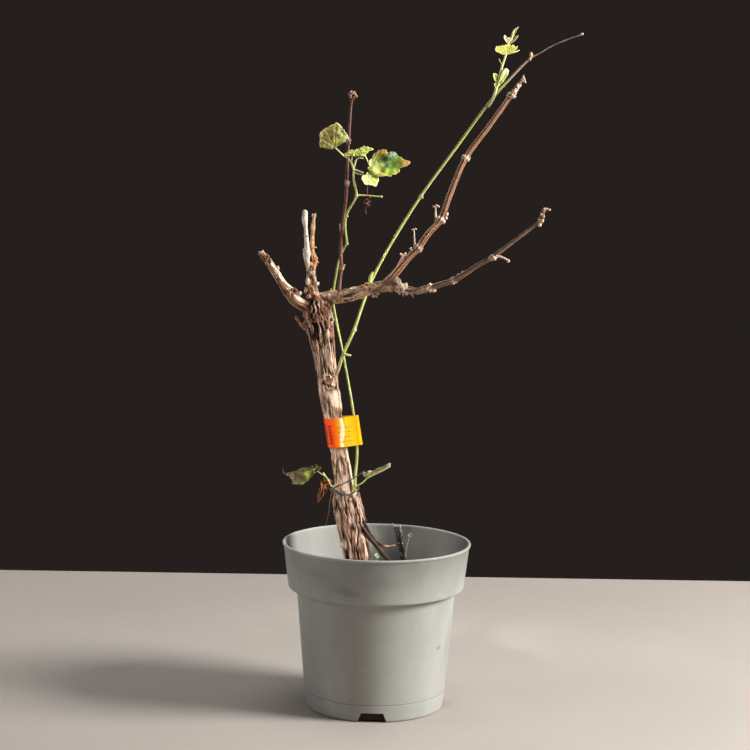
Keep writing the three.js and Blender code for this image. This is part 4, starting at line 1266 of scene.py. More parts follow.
def thin_cane(finish):
    mesh, limb = cane(slimmer(THIN_CANE, 0.76), THIN_CANE_BUDS, 71, 26)
    draw = random.Random(72)
    cap = limb.rings[-1].centre
    for _ in range(14):
        turn = draw.uniform(-pi, pi)
        place = cap + Vector((3.9 * cos(turn), 3.9 * sin(turn), draw.uniform(-7, -1)))
        size = (draw.uniform(1, 1.9), draw.uniform(1, 1.9), draw.uniform(0.9, 1.8))
        knob(mesh, place, size, draw.uniform(0.4, 1), draw, 0.7)
    shreds(mesh, cap - Vector((0, 0, 5)), (0, 0, 1), draw, 8, (3, 5), (0.8, 1.8), 1.2, 0.8)
    piece("thin_cane_bark", mesh, [finish], "cane_bark", "thin_cane")


def long_cane(finish):
    mesh, limb = cane(LONG_CANE, LONG_CANE_SPURS, 81, 34, 26)
    draw = random.Random(82)
    crust(mesh, LONG_CANE_LUMPS, draw)
    end = limb.length
    for i in range(15):
        place, _, _ = limb.place(end - 25 + i * 1.3, draw.uniform(-0.3, 1.5), 0.6)
        knob(mesh, place, [draw.uniform(1, 2.1) for _ in range(3)], draw.uniform(0.7, 1), draw, 0.8)
    peelings(mesh, limb, 83, 12, (end - 27, end - 5), (-20, 100), (5, 11), (0.8, 1.8), 2.0)
    peelings(mesh, limb, 84, 5, (end - 27, end - 6), (100, 300), (5, 10), (0.8, 1.6), 1.0)
    flake(mesh, ((159.1, -0.4, 734.2), (155.8, -0.2, 728.6), (162, 0.4, 725.8)), 1.4, 1)
    piece("long_cane_bark", mesh, [finish], "cane_bark", "long_cane")


def low_cane(finish):
    mesh, limb = cane(LOW_CANE, LOW_CANE_SPURS, 91, 30, 22, 6)
    draw = random.Random(92)
    peelings(mesh, limb, 93, 20, (2, 38), (-180, 180), (6, 14), (0.8, 1.8), 1.0)
    crust(mesh, (
        ((141, -71, 525.4), (1.8, 1.6, 1.9), 1), ((125, -70.5, 528), (2.8, 2, 2.6), 1),
        ((122, -69.5, 526.4), (1.8, 1.4, 1.6), 0.9), ((127.6, -70.4, 531), (1.6, 1.4, 1.4), 0.8),
        ((173.8, -78.6, 565.8), (2, 1.8, 2.2), 1), ((176.8, -79.4, 570.4), (2, 1.6, 2.2), 1),
        ((173.6, -77.6, 571.4), (1.8, 1.6, 2.4), 0.1), ((177.8, -79, 575), (2, 1.8, 2.6), 0.1),
        ((175.4, -78.6, 577), (1.5, 1.5, 2), 0.9), ((177.4, -79, 581.2), (2, 1.7, 2), 0.2),
        ((178.6, -80, 583.4), (1.3, 1.2, 1.3), 1), ((181, -79, 583.4), (1.7, 1.5, 1.4), 0.3),
        ((184.2, -79.6, 582.4), (1.4, 1.3, 1.3), 1.1),
        ((86.4, -58, 508.8), (2, 1.6, 1.3), 0.7), ((91.6, -60, 511.6), (2.2, 1.5, 1.2), 0.8),
        ((81.4, -56, 499), (1.3, 1.2, 1.5), 0.7), ((55.5, -47.6, 495), (2.8, 2, 2.8), 0.8),
        ((52.6, -47.8, 491.4), (2.4, 2, 2.4), 1), ((59.6, -49, 490), (3, 1.8, 2), 0.9),
        ((56, -49, 490), (2, 1.6, 2.2), 0.7),
    ), draw)
    piece("low_cane_bark", mesh, [finish], "cane_bark", "low_cane")


# ---------- green shoots and tendrils ----------


def shoot(stops, side_stubs, seed, tips=(0, 0)):
    """A long green shoot with its side stubs, ripened to wood between the given shares of its length."""
    mesh = new_mesh()
    limb = Limb(slimmer(stops, 0.8), 1.6)
    skin(mesh, limb, 18, striped(seed, limb, 6, 0.09, tips, 0.55), 1 if tips[1] else 0.3)
    for stub in side_stubs:
        skin(mesh, Limb(stub, 0.8), 12, plain(0.15))
    draw = random.Random(seed)
    for knot, _ in limb.knots:
        place, _, _ = limb.place(knot, draw.uniform(0.2, 1.4), 0.2)
        knob(mesh, place, (1.1, 1, 1.5), 0.5, draw, 0.3)
    return mesh


def left_shoot(finish):
    mesh = shoot(LEFT_SHOOT, [LEFT_SHOOT_TENDRIL, LEFT_SHOOT_BUD], 101)
    knob(mesh, (-0.5, -1, 593.7), (1.5, 1.3, 1.3), 0.35, random.Random(1), 0.3)
    piece("left_shoot_stem", mesh, [finish], "green_shoot", "left_shoot")


def right_shoot(finish):
    mesh = shoot(RIGHT_SHOOT, RIGHT_SHOOT_STUBS, 111, (0.88, 0.93))
    tone_mark = marks(mesh)[1]
    for corner in mesh.verts:
        foot = smoothstep(412, 392, corner.co.z / MM) * smoothstep(-38, -44, corner.co.x / MM)
        corner[tone_mark] = max(corner[tone_mark], 0.8 * foot)
    draw = random.Random(112)
    knob(mesh, (166.6, -4.2, 755.8), (1.9, 1.6, 3.8), 0.95, draw, 0.3)
    knob(mesh, (-29.4, -15, 441.6), (2.2, 1.5, 2.4), 0.7, draw, 0.4)
    knob(mesh, (-34, -18.2, 412.6), (1.8, 1.3, 1.2), 0.5, draw, 0.4)
    piece("right_shoot_stem", mesh, [finish], "green_shoot", "right_shoot")


def tip_tendril(finish):
    mesh = new_mesh()
    limb = Limb(TIP_TENDRIL, 1.0)

    def relief(ring, turn):
        return 0.0, 0.2, 0.62 + 0.35 * smoothstep(0.9, 0.98, ring.share)

    skin(mesh, limb, 10, relief)
    knob(mesh, (222.2, -16, 779.4), (1.9, 1.2, 1.3), 0.95, random.Random(1), 0.3)
    piece("tip_tendril_wood", mesh, [finish], "dry_tendril", "tip_tendril")


# ---------- leaves ----------

# A blade: its foot, its tip and where its upper side faces; its outline as (turn, reach) pairs; the
# turns of its veins; the spacing and depth of its teeth; how far it folds, curls and waves; the
# spokes of its mesh; its colour, and the patches on it as x, z, reach and a colour's three values.
Leaf = namedtuple(
    "Leaf", "foot tip face outline veins teeth fold curl wave spokes colour patches", defaults=[()]
)
PALMATE = (0, 58, -58, 116, -116)


def outline_at(outline, degrees):
    """The blade's reach at a turn from its midrib, from a list of (turn, reach) right round."""
    first, last = outline[0], outline[-1]
    ring = [(last[0] - 360, last[1])] + list(outline) + [(first[0] + 360, first[1])]
    return along_steps(ring, degrees)


def vein_at(veins, turn, radius, length):
    """How near a spot of the blade lies to one of its veins, from 0 to 1."""
    nearest = min(veins, key=lambda vein: abs(turned_apart(turn, radians(vein))))
    apart = turned_apart(turn, radians(nearest))
    off = abs(radius * sin(apart))
    forward = radius * cos(apart)
    width = length * 0.022 * (1.25 - radius / length)
    main = exp(-((off / max(0.12, width)) ** 2))
    step = length * 0.15
    phase = ((forward - 0.9 * off) / step) % 1
    side = exp(-((min(phase, 1 - phase) * step / (length * 0.012)) ** 2)) * 0.55
    side *= smoothstep(0.1, 0.3, radius / length)
    return max(main, side)


def painted(colour, patches, place):
    """The blade's colour at a place: its own all over, and soft patches of (x, z, reach, colour)."""
    x = place.x + 1.5 * noise.noise(place / 3)
    z = place.z + 1.5 * noise.noise(place / 3 + FRONT * 9)
    weights = [(0.16, colour)]
    for patch_x, patch_z, reach, patch_colour in patches:
        off = hypot(x - patch_x, z - patch_z) / reach
        weights.append((exp(-1.5 * off**2), patch_colour))
    whole = sum(weight for weight, _ in weights)
    return [sum(weight * each[i] for weight, each in weights) / whole for i in range(4)]


def blade_axes(foot, tip, face):
    """A blade's length, and its axes: along its midrib, across it, and out of its upper side."""
    along = Vector(tip) - Vector(foot)
    length = along.length
    along.normalize()
    up = Vector(face)
    up = (up - along * up.dot(along)).normalized()
    return length, along, up.cross(along), up


def traced(foot, tip, face, margin):
    """A blade's outline, from the (x, z) places that its margin passes in front view.

    Where the margin leaves more than 75 degrees out, the outline comes in to the stalk.
    """
    length, along, across, up = blade_axes(foot, tip, face)
    outline = []
    for x, z in margin:
        off = Vector((x, foot[1], z)) - Vector(foot)
        off.y -= off.dot(up) / up.y
        turn = math.degrees(atan2(off.dot(across), off.dot(along)))
        outline.append((turn, off.length / length))
    outline.sort()
    closed = []
    for (turn, reach), (after, _) in zip(outline, outline[1:] + [(outline[0][0] + 360, 0)]):
        closed.append((turn, reach))
        if after - turn > 75:
            closed += [(turn + 6, 0.07), (after - 6, 0.07)]
    return closed


def blade(mesh, leaf, thickness=0.35):
    """A thin veined blade: a disc spun round the stalk's end, drawn out to its outline."""
    hollow_mark, _, grain_mark = marks(mesh)
    paint_mark = mesh.verts.layers.float_color["paint"]
    colour = tint(*leaf.colour)
    patches = [(x, z, reach, tint(*patch)) for x, z, reach, *patch in leaf.patches]
    foot = Vector(leaf.foot)
    length, along, across, up = blade_axes(leaf.foot, leaf.tip, leaf.face)
    rings = max(8, leaf.spokes // 6)
    ray = [mesh.verts.new((i / rings, 0, 0)) for i in range(rings + 1)]
    edges = [mesh.edges.new(pair) for pair in zip(ray, ray[1:])]
    bmesh.ops.spin(
        mesh, geom=ray + edges, cent=(0, 0, 0), axis=(0, 0, 1), angle=2 * pi,
        steps=leaf.spokes, use_merge=True,
    )
    placed = mesh.verts.layers.int["placed"]
    bmesh.ops.remove_doubles(mesh, verts=[corner for corner in mesh.verts if not corner[placed]], dist=1e-5)
    fresh = fresh_corners(mesh)
    for corner in fresh:
        share = hypot(corner.co.x, corner.co.y)
        turn = atan2(corner.co.y, corner.co.x)
        degrees = math.degrees(turn)
        saw = abs((degrees / leaf.teeth[0]) % 1 - 0.35)
        tooth = 1 + leaf.teeth[1] * (0.5 - saw) * smoothstep(0.6, 1, share)
        radius = share * outline_at(leaf.outline, degrees) * tooth * length
        forward, sideways = radius * cos(turn), radius * sin(turn)
        vein = vein_at(leaf.veins, turn, radius, length)
        flat = Vector((forward, sideways, 0))
        puff = noise.noise(flat / (length * 0.13) + foot / 17) * length * 0.03
        wave = leaf.wave * share**2 * sin(turn * 5 + foot.x)
        wave += 0.5 * leaf.wave * noise.noise(flat / 6 + foot)
        height = puff + wave - 0.45 * vein + leaf.fold * abs(sideways) / length
        height += leaf.curl * (forward / length) ** 2
        place = foot + along * forward + across * sideways + up * height
        corner[hollow_mark] = vein
        corner[paint_mark] = painted(colour, patches, place)
        corner[grain_mark] = Vector((forward, sideways, share))
        corner.co = place * MM
    faces = list({face for corner in fresh for face in corner.link_faces})
    bmesh.ops.recalc_face_normals(mesh, faces=faces)
    bmesh.ops.solidify(mesh, geom=faces, thickness=thickness * MM)
    fresh_corners(mesh)


def leaf_piece(name, finish, leaf):
    mesh = new_mesh()
    blade(mesh, leaf)
    piece(name, mesh, [finish], "leaf")


def traced_leaf(name, finish, foot, tip, face, margin, *others):
    """A leaf whose outline is traced; the others are the rest of a Leaf, from its veins on."""
    leaf_piece(name, finish, Leaf(foot, tip, face, traced(foot, tip, face, margin), *others))


def leaf_rib(name, finish, limb, tone, colour):
    """A rolled edge or tip of a leaf, painted in one colour."""
    mesh = new_mesh()
    paint_mark = mesh.verts.layers.float_color["paint"]
    skin(mesh, limb, 8, plain(tone))
    for corner in mesh.verts:
        corner[paint_mark] = colour
    piece(name, mesh, [finish], "leaf")


def stalks(name, node, finish, twigs, tones):
    """The twigs of a spray and its leaves' stalks, as the piece that stands for the spray's node."""
    mesh = new_mesh()
    for twig, tone in zip(twigs, tones):
        skin(mesh, Limb(twig, 0.8), 12, plain(tone))
    piece(name, mesh, [finish], "leaf", node)


def left_spray_stalks(finish):
    twigs = [
        [(-31.1, -7.1, 604.8, 1.4), (-32.8, -8, 616.8, 1.15), (-32.9, -9, 625.5, 1.2),
         (-38.6, -11, 636.5, 1), (-43.4, -12, 638.8, 0.85), (-48, -14, 643, 0.65),
         (-54.6, -15.8, 649.2, 0.55)],
        [(-35.4, -10, 631.5, 0.9), (-34.2, -12.5, 642, 0.7)],
        [(-32, -9, 627, 0.9), (-30, -12, 634.8, 0.9), (-27, -13.6, 637.2, 0.8), (-21.6, -14.5, 636.6, 0.4)],
        [(-24, -13, 644.6, 0.7), (-19.3, -12.4, 638.6, 0.7), (-15.6, -12, 630.9, 0.6),
         (-13.4, -12.6, 626, 0.6)],
        [(-32.8, -8.5, 624.4, 1.1), (-28, -10, 623, 0.8), (-21.4, -12, 620.6, 0.7)],
        [(-32.8, -8.5, 621.4, 1), (-28, -9, 619.4, 0.7), (-22.4, -11, 618.6, 0.7)],
    ]
    stalks("left_spray_stalks", "left_spray", finish, twigs, (0.1, 0.1, 0.3, 0.15, 0.2, 0.2))


def dry_curl(finish):
    """The dry tendril that hangs in small loops below the left spray."""
    mesh = new_mesh()
    stops = [(-16.2, -14.2, 611, 0.6), (-16.4, -13.5, 596.4, 0.5)]
    for i in range(15):
        turn = i * 0.9
        stops.append((-15.6 + 2.4 * cos(turn), -12.6 + 2 * sin(turn * 1.2), 592.5 - 0.62 * i, 0.45))
    stops += [(-18.4, -12.5, 581, 0.42), (-17.4, -12, 573.7, 0.38)]
    skin(mesh, Limb(stops, 0.6), 8, plain(0.15))
    stray = [(-16, -12.6, 590), (-19.5, -12.8, 589.6), (-20.3, -12.6, 587), (-18.6, -12.5, 585.6)]
    skin(mesh, Limb([(*stop, 0.4) for stop in stray], 0.6), 8, plain(0.1))
    piece("dry_curl", mesh, [finish], "dry_tendril")


def left_spray_leaves():
    underside = leaf_finish("leaf_underside_olive", (206, 190, 112), (214, 204, 150), 0.94, 0.4)
    traced_leaf(
        "left_leaf_top", underside, (-54.5, -16, 649), (-52.3, -20, 676), (0.2, -1, -0.1),
        [(-38.4, 658.4), (-42, 664.4), (-45.7, 669.4), (-49, 673.6), (-52.2, 676.4), (-58, 673.8),
         (-62.7, 670.8), (-71, 665), (-71.5, 656), (-71, 648.4), (-65, 648.1), (-58, 646.8)],
        (3, 32, -30, 62, -52), (9, 0.05), 2.5, 2, 0.7, 132, (124, 118, 56),
        ((-60, 662, 5.5, 90, 72, 22), (-66, 656, 5.5, 94, 86, 34), (-68, 649.5, 4, 150, 164, 46),
         (-69, 664, 4, 150, 136, 56), (-50, 668, 5.5, 214, 212, 124), (-46, 661, 5, 180, 188, 110),
         (-41, 659.6, 3.6, 232, 228, 170), (-52.6, 656, 3, 206, 206, 84), (-57, 651, 3, 130, 108, 44),
         (-56.6, 672, 4, 156, 136, 58)),
    )
    bright = leaf_finish("leaf_bright_green", (214, 220, 112), (222, 222, 150), 0.93, 0.5)
    traced_leaf(
        "left_leaf_middle", bright, (-31, -13, 643.6), (-11, -12.5, 647.4), (0.2, -0.75, 0.6),
        [(-44.8, 641), (-39.2, 643.9), (-36.3, 646.2), (-31, 646.4), (-26.3, 648.6), (-21.6, 651.8),
         (-19.3, 650.2), (-15.7, 650.2), (-11, 647.2), (-16.9, 645.4), (-19.3, 642.3), (-28.7, 640),
         (-34.5, 640.8)],
        PALMATE, (16, 0.12), -2, -1, 0.4, 120, (182, 198, 72),
        ((-20, 648, 4, 200, 212, 90), (-32, 643, 4, 186, 200, 86), (-40, 642.6, 3, 196, 206, 110),
         (-25, 643, 3, 140, 164, 52)),
    )
    # The pale patches at (-11, 632) and (-8, 624) on the large leaf's left third are a painted highlight.
    variegated_with_highlight = leaf_finish("leaf_variegated_with_painted_highlight", (176, 194, 112), (212, 152, 92), 0.955, 0.3)
    traced_leaf(
        "left_leaf_large", variegated_with_highlight, (-13.4, -13, 626), (31.4, -7.5, 633.8), (0.32, -0.92, 0.28),
        [(-15.6, 630.8), (-12.8, 636), (-9.6, 642.4), (-3.1, 646), (2.4, 646.4), (5.6, 642.6), (16.9, 640),
         (22.8, 637.2), (31.6, 633.7), (27, 629.4), (19.8, 627.2), (18.6, 622.9), (10.1, 617.8),
         (1.6, 617.1), (-4, 616.2), (-13.6, 623.8)],
        (10, 30, -12, 52, -30), (9, 0.1), 6, -3, 1.2, 156, (120, 148, 54),
        ((-11, 632, 5.5, 234, 242, 156), (-8, 624, 5, 222, 232, 130), (-6, 640, 4, 206, 190, 90),
         (0, 644.4, 3.6, 196, 162, 66), (4.5, 635.5, 4.6, 36, 66, 16), (5, 627.5, 4, 56, 90, 22),
         (4, 620.6, 4, 190, 208, 70), (12, 622.5, 4.4, 150, 180, 54), (14, 632, 4.6, 72, 108, 32),
         (21, 633.6, 3.6, 128, 140, 52), (26, 632.6, 3.2, 196, 112, 40), (30.6, 633.6, 2, 216, 156, 96),
         (-3, 617.6, 3, 206, 160, 100), (-2, 631, 4, 200, 216, 106)),
    )
    # The pale blue-white patches on this small curled lobe are a painted sheen, a highlight painted into its
    # colour.
    green_with_painted_sheen = leaf_finish("leaf_curl_painted_sheen", (176, 194, 160), (112, 144, 76), 0.86, 0.4, 0.55)
    traced_leaf(
        "left_leaf_curl", green_with_painted_sheen, (10, -14.6, 640.2), (17.2, -14.6, 640), (-0.1, -1, 0.4),
        [(5.6, 640), (6.4, 643.4), (10, 644.8), (14.6, 643.8), (17.2, 640.4), (14, 638.4), (10.8, 636.2),
         (7.6, 637.4)],
        PALMATE, (22, 0.08), 1, -1, 0.3, 72, (104, 134, 66),
        ((9.4, 641.4, 2.2, 204, 216, 200), (13, 642.6, 2.2, 212, 222, 204)),
    )
    small = leaf_finish("leaf_small_mottled", (224, 230, 160), (236, 238, 196), 0.9, 0.5, 0.65)
    traced_leaf(
        "left_leaf_small", small, (-17.4, -14.5, 618.8), (-9, -19.5, 606), (0.4, -0.9, 0.2),
        [(-22.6, 617.6), (-22.8, 612), (-19.4, 607.6), (-13, 607), (-8.2, 604.8), (-6, 608.5), (-4.6, 613),
         (-5.3, 617.8), (-9, 621.2), (-14, 621.6), (-17.6, 620.6)],
        PALMATE, (24, 0.12), 1.2, 1, 0.4, 84, (218, 232, 132),
        ((-19.4, 613.6, 4, 190, 204, 130), (-16.4, 608.6, 3, 214, 222, 150), (-9, 612.4, 4, 206, 222, 84),
         (-8, 618, 3, 220, 230, 116), (-8.3, 605.6, 1.6, 246, 244, 222), (-14, 614, 2, 214, 222, 158)),
    )


def right_spray_stalks(finish):
    twigs = [
        [(125.3, 4.5, 707.3, 1.7), (127.3, 0, 714.8, 1.6), (130.4, -4, 726.7, 1.5), (133.8, -7, 743.2, 1.3),
         (137.2, -9, 754.6, 1.1), (139.7, -9, 767.6, 0.9), (144, -9, 775.5, 0.7), (147, -8, 784, 0.5)],
        [(134.4, -6.8, 744.6, 0.7), (131.6, -8, 747.6, 0.5), (130, -9, 751, 0.3)],
        [(119.8, 5, 697.5, 0.9), (122.8, 2.8, 702, 1.3), (125.8, 2.4, 708, 1.2)],
    ]
    stalks("right_spray_stalks", "right_spray", finish, twigs, (0.05, 0.1, 0.05))


def right_spray_leaves():
    young = leaf_finish("leaf_fan_green", (232, 236, 140), (238, 240, 160), 0.93, 0.3, 0.5, 0.15)
    traced_leaf(
        "right_leaf_fan", young, (137.7, -9, 755), (139, -13, 766), (0.3, -0.85, 0.4),
        [(143.3, 757.4), (150, 759.8), (154, 761.7), (149.6, 763.2), (150.4, 766), (147.6, 764.4),
         (145.4, 766.6), (142.4, 765.4), (139.7, 767), (138, 765.6), (136.3, 766.4), (134.6, 764.9),
         (133, 766), (131, 764.4), (129, 765.2), (127.6, 763.6), (126, 764.8), (124.4, 761.8), (125, 759),
         (132, 756.7)],
        (0, 36, -36, 66, -66), (40, 0.02), 1, 0, 0.3, 144, (206, 206, 92),
        ((137, 760, 6, 194, 200, 84), (152, 762, 4, 218, 218, 124), (126, 762, 3.4, 212, 216, 106)),
    )
    pale = leaf_finish("leaf_pale_young", (232, 238, 176), (232, 238, 180), 0.9, 0.4, 0.5, 0.12)
    traced_leaf(
        "right_leaf_pale", pale, (131, -5, 722), (139.8, -7.5, 738.3), (0.4, -0.9, 0.25),
        [(134.1, 723.8), (137.4, 728.7), (140.7, 733.2), (141.8, 737), (141.2, 739.2), (138.9, 740.4),
         (135.4, 739.6), (133.6, 736.6), (132.2, 732), (131.1, 727), (130.4, 724)],
        (0, 30, -30), (60, 0.02), 1, 0, 0.2, 60, (206, 218, 124),
        ((139.4, 736.6, 2.6, 236, 240, 190), (135, 728, 3, 216, 226, 140)),
    )
    green = leaf_finish("leaf_young_green", (216, 228, 130), (236, 240, 170), 0.86, 0.3, 0.5, 0.15)
    traced_leaf(
        "right_leaf_green", green, (129.2, -4.3, 724.6), (124.6, -7, 734), (0.4, -0.9, 0.1),
        [(127, 725.6), (124.4, 729.6), (123.3, 733.2), (124, 734.8), (125.9, 734.7), (128, 733.2),
         (129.6, 731.4), (130.4, 728.4)],
        (0, 40, -40), (30, 0.05), 2, 1, 0.3, 60, (160, 184, 58),
    )
    traced_leaf(
        "right_bract_low", green, (127.8, -3.4, 717.4), (126, -5, 723.8), (0.3, -1, 0),
        [(125.2, 721), (125.6, 724), (128.2, 723.8), (128.8, 720)],
        (0, 40, -40), (40, 0.05), 1, 0, 0.2, 36, (206, 214, 128),
    )
    flushed = leaf_finish("leaf_tip_flushed", (240, 226, 150), (242, 228, 176), 0.85, 0.4)
    for name, foot, tip, face, margin, colour, patches in (
        ("right_bract_left", (140.6, -9.2, 766.8), (135.2, -11, 777.4), (0.3, -1, 0.1),
         [(136, 771), (134.2, 775.8), (135.6, 777.8), (137, 776), (138.4, 773.6), (141.2, 774.8),
          (141.4, 769.8)],
         (214, 186, 138), ((138.6, 774, 2, 172, 134, 114), (134.6, 776, 1.6, 226, 208, 164))),
        ("right_bract_tall", (140.8, -9, 767), (148.6, -8, 787), (0.2, -1, 0),
         [(143.6, 771.8), (146.2, 776.5), (148.2, 782.6), (149, 785.2), (151.2, 787.6), (147.8, 785.4),
          (146.4, 786.8), (145.2, 783.2), (143.2, 776.5), (140.9, 771)],
         (206, 188, 82), ((147, 783, 3, 218, 178, 108), (142.6, 771, 3, 196, 196, 88))),
        ("right_bract_right", (141.4, -9, 767.4), (150.9, -7.5, 776.8), (-0.3, -1, 0.3),
         [(145.4, 769.8), (148.8, 772.8), (151.4, 777.2), (148, 775.8), (145.2, 773), (142.2, 769.8)],
         (220, 214, 158), ()),
    ):
        traced_leaf(
            name, flushed, foot, tip, face, margin, (0, 30, -30), (40, 0.04), 2, 1, 0.2, 60, colour, patches,
        )


def low_left_leaf(stalk_finish):
    twigs = [
        [(-46, 0, 255, 1.3), (-53.5, -4, 258.6, 1), (-56.7, -5, 264.5, 0.7), (-63.3, -7, 274.6, 0.5)],
        [(-60.6, -6, 270, 0.5), (-64, -8, 272, 0.45), (-69.3, -9.6, 276, 0.4), (-74, -10.6, 278.8, 0.4)],
    ]
    stalks("low_left_stalks", "low_left_leaf", stalk_finish, twigs, (0.35, 0.2))
    # The pale margin of this faded leaf is partly its own colour and partly a painted highlight along its
    # edge.
    faded = leaf_finish("leaf_fading_brown", (84, 77, 45), (105, 103, 69), 0.93, 0.3, 0.7, 0.5)
    traced_leaf(
        "low_left_leaf_blade", faded, (-74.6, -10.3, 279.2), (-103, -15, 273), (0.3, -0.9, 0.35),
        [(-66, 280.7), (-69.2, 282), (-75, 282.3), (-78.3, 280.9), (-91.5, 277), (-98.9, 275.7),
         (-104.7, 273.8), (-104.7, 271.9), (-101.4, 270.3), (-97.6, 265.8), (-98.4, 262.6), (-95.5, 262),
         (-90.5, 262.3), (-87.2, 261.2), (-83.9, 264), (-80.6, 266), (-77.4, 270.3), (-74.1, 274.1),
         (-70.8, 276.2), (-66.7, 279.4)],
        (6, 28, 54), (7, 0.14), 2, 2, 1.8, 156, (65, 60, 29),
        ((-94, 270, 6, 72, 55, 36), (-86, 270, 3, 48, 43, 19), (-98, 273, 3, 79, 67, 45),
         (-82, 273, 3.4, 138, 143, 50), (-79.4, 268.4, 3, 119, 126, 43), (-76, 276, 3, 91, 96, 34),
         (-94, 263.4, 2, 126, 131, 81), (-87, 262.6, 2, 129, 132, 83), (-69, 281, 3, 55, 58, 24),
         (-83.6, 278.4, 2.4, 64, 67, 28)),
    )
    tip = [(-103, -15, 272.6, 0.8), (-108.4, -16, 274.6, 0.5), (-109.5, -15.6, 279.6, 0.3)]
    leaf_rib("low_left_leaf_tip", faded, Limb(tip, 0.5), 0.6, tint(79, 79, 43))


def low_right_leaf(stalk_finish):
    twigs = [[(-30, -4, 249, 1.3), (-25, -9.6, 259, 0.9), (-18, -11, 263.4, 0.8), (-11.7, -12, 269.7, 0.7)]]
    stalks("low_right_stalks", "low_right_leaf", stalk_finish, twigs, (0.05,))
    folded = leaf_finish("leaf_folded_olive", (206, 200, 140), (224, 216, 172), 0.9, 0.5, 0.6)
    traced_leaf(
        "low_right_leaf_blade", folded, (-10.5, -12.4, 271.9), (14.6, -15, 285), (0.1, -0.9, 0.4),
        [(-4, 273.8), (0, 276.4), (8, 280.6), (14.9, 284.4), (12.8, 287.4), (5, 282.4), (1, 281.8),
         (-1.5, 280.4), (-6, 277.4), (-12, 275.6), (-16, 275), (-15.6, 272), (-12.4, 270.4)],
        (-3, 12, 30), (8, 0.16), 5, 2, 1.6, 120, (108, 102, 48),
        ((-12, 273, 3, 140, 138, 70), (0, 280, 3, 104, 96, 44), (-5, 275, 3, 176, 170, 110),
         (5, 280.6, 3.4, 186, 178, 120), (13, 286, 2.6, 232, 224, 184)),
    )
    edge = [(-11.7, -12.6, 269.9, 0.7), (-2, -14, 275, 0.8), (7, -15.4, 279.8, 0.8), (14.4, -16, 284.4, 0.7)]
    leaf_rib("low_right_leaf_edge", folded, Limb(edge, 0.6), 0.2, tint(224, 212, 160))


def dead_leaf():
    crisp = leaf_finish("leaf_dead_brown", (104, 60, 38), (156, 112, 84), 0.92, 0.4, 0.8)
    mesh = new_mesh()
    shape = [(-180, 0.16), (-130, 0.2), (-80, 0.22), (-40, 0.32), (-12, 0.52), (0, 1), (12, 0.52), (40, 0.32),
             (80, 0.22), (130, 0.2)]
    patches = (
        (-60, 258, 4, 144, 84, 54), (-66, 254, 4, 92, 44, 26), (-69, 243, 3, 150, 92, 64),
        (-63, 247, 3, 76, 34, 20), (-64, 240, 2.4, 160, 102, 72),
    )
    for foot, tip, face in (
        ((-59.4, -2.6, 263), (-70.2, -4, 240), (0.7, -0.8, 0.2)),
        ((-60, -1, 262), (-65.6, 0, 238.6), (-0.9, -0.5, 0)),
        ((-61, -3, 261), (-67.6, -6, 249), (0.95, -0.2, 0.4)),
    ):
        leaf = Leaf(foot, tip, face, shape, PALMATE, (20, 0.25), 9, 3, 3, 84, (112, 60, 38), patches)
        blade(mesh, leaf, 0.4)
    piece("dead_leaf_blade", mesh, [crisp], "dead_leaf", "dead_leaf")


# ---------- foot of the plant ----------


def root(name, node, stops, finish, seed, tips=(0, 0)):
    mesh = new_mesh()

    def shade(ring, turn, hollow, tone):
        lit = smoothstep(0.75, 1, sin(turn + 2.2)) * 0.15
        return hollow, max(lit, smoothstep(tips[0], tips[1], ring.share) if tips[1] else 0)

    skin(mesh, Limb(stops, 0.9), 24, worn(seed, 0.35, 0.6, 0.7, shade))
    piece(name, mesh, [finish], "dark_root", node)


def cane_foot(finish):
    """Two dark splinters side by side, flecked pale along their torn edges and at their tops; the flecks keep
    to the side facing the light and are partly a painted highlight.
    """
    mesh = new_mesh()

    def shade(ring, turn, hollow, tone):
        spot = spot_on(ring, turn)
        flecks = smoothstep(0.1, 0.3, noise.noise(spot / 1.7)) * smoothstep(0.2, 0.7, cos(turn - 0.9))
        return hollow, max(0.8 * flecks, 0.7 * smoothstep(0.97, 0.99, ring.share))

    for i, stops in enumerate(CANE_FOOT):
        skin(mesh, Limb(stops, 0.6), 26, worn(141 + i, 0.35, 0.8, 0.5, shade), 0.9)
    draw = random.Random(143)
    shreds(mesh, (21, 25, 205.6), (-0.1, 0, 1), draw, 3, (1.5, 2.6), (0.8, 1.4), 0.3, 0.5)
    shreds(mesh, (26.4, 24, 205.6), (0.1, 0, 1), draw, 3, (1.5, 2.6), (0.8, 1.4), 0.3, 0.5)
    piece("cane_foot_wood", mesh, [finish], "dark_root", "cane_foot")


def foot_shoot(stalk_finish):
    sprig = [(-2, -8, 133, 0.5), (-0.6, -7, 160, 0.45), (0.8, -6, 176.4, 0.4)]
    stalks("foot_shoot_stem", "foot_shoot", stalk_finish, [FOOT_SHOOT, sprig], (0.1, 0.1))
    lobed = [(-180, 0.24), (-150, 0.42), (-118, 0.62), (-88, 0.55), (-60, 0.82), (-30, 0.72), (0, 1),
             (30, 0.72), (60, 0.82), (88, 0.55), (118, 0.62), (150, 0.42)]
    seedling = leaf_finish("leaf_seedling", (176, 188, 140), (186, 196, 150))
    for name, foot, tip, face in (
        ("foot_shoot_leaf", (39, 19.8, 196.4), (40.8, 18.6, 199.4), (0.2, -1, 0.2)),
        ("foot_shoot_leaf_two", (39, 19.8, 196.4), (37, 18.8, 197.6), (0.2, -1, 0.3)),
        ("foot_sprig_leaf", (0.8, -6, 176.4), (-2.6, -7.6, 178.6), (0.3, -0.6, 0.7)),
        ("foot_sprig_leaf_two", (0.8, -6, 176.4), (3, -7.2, 177), (0.3, -0.6, 0.7)),
    ):
        leaf = Leaf(foot, tip, face, lobed, PALMATE, (40, 0.06), 2, 0, 0.2, 36, (160, 178, 120))
        leaf_piece(name, seedling, leaf)


# ---------- tie wire and colour band ----------


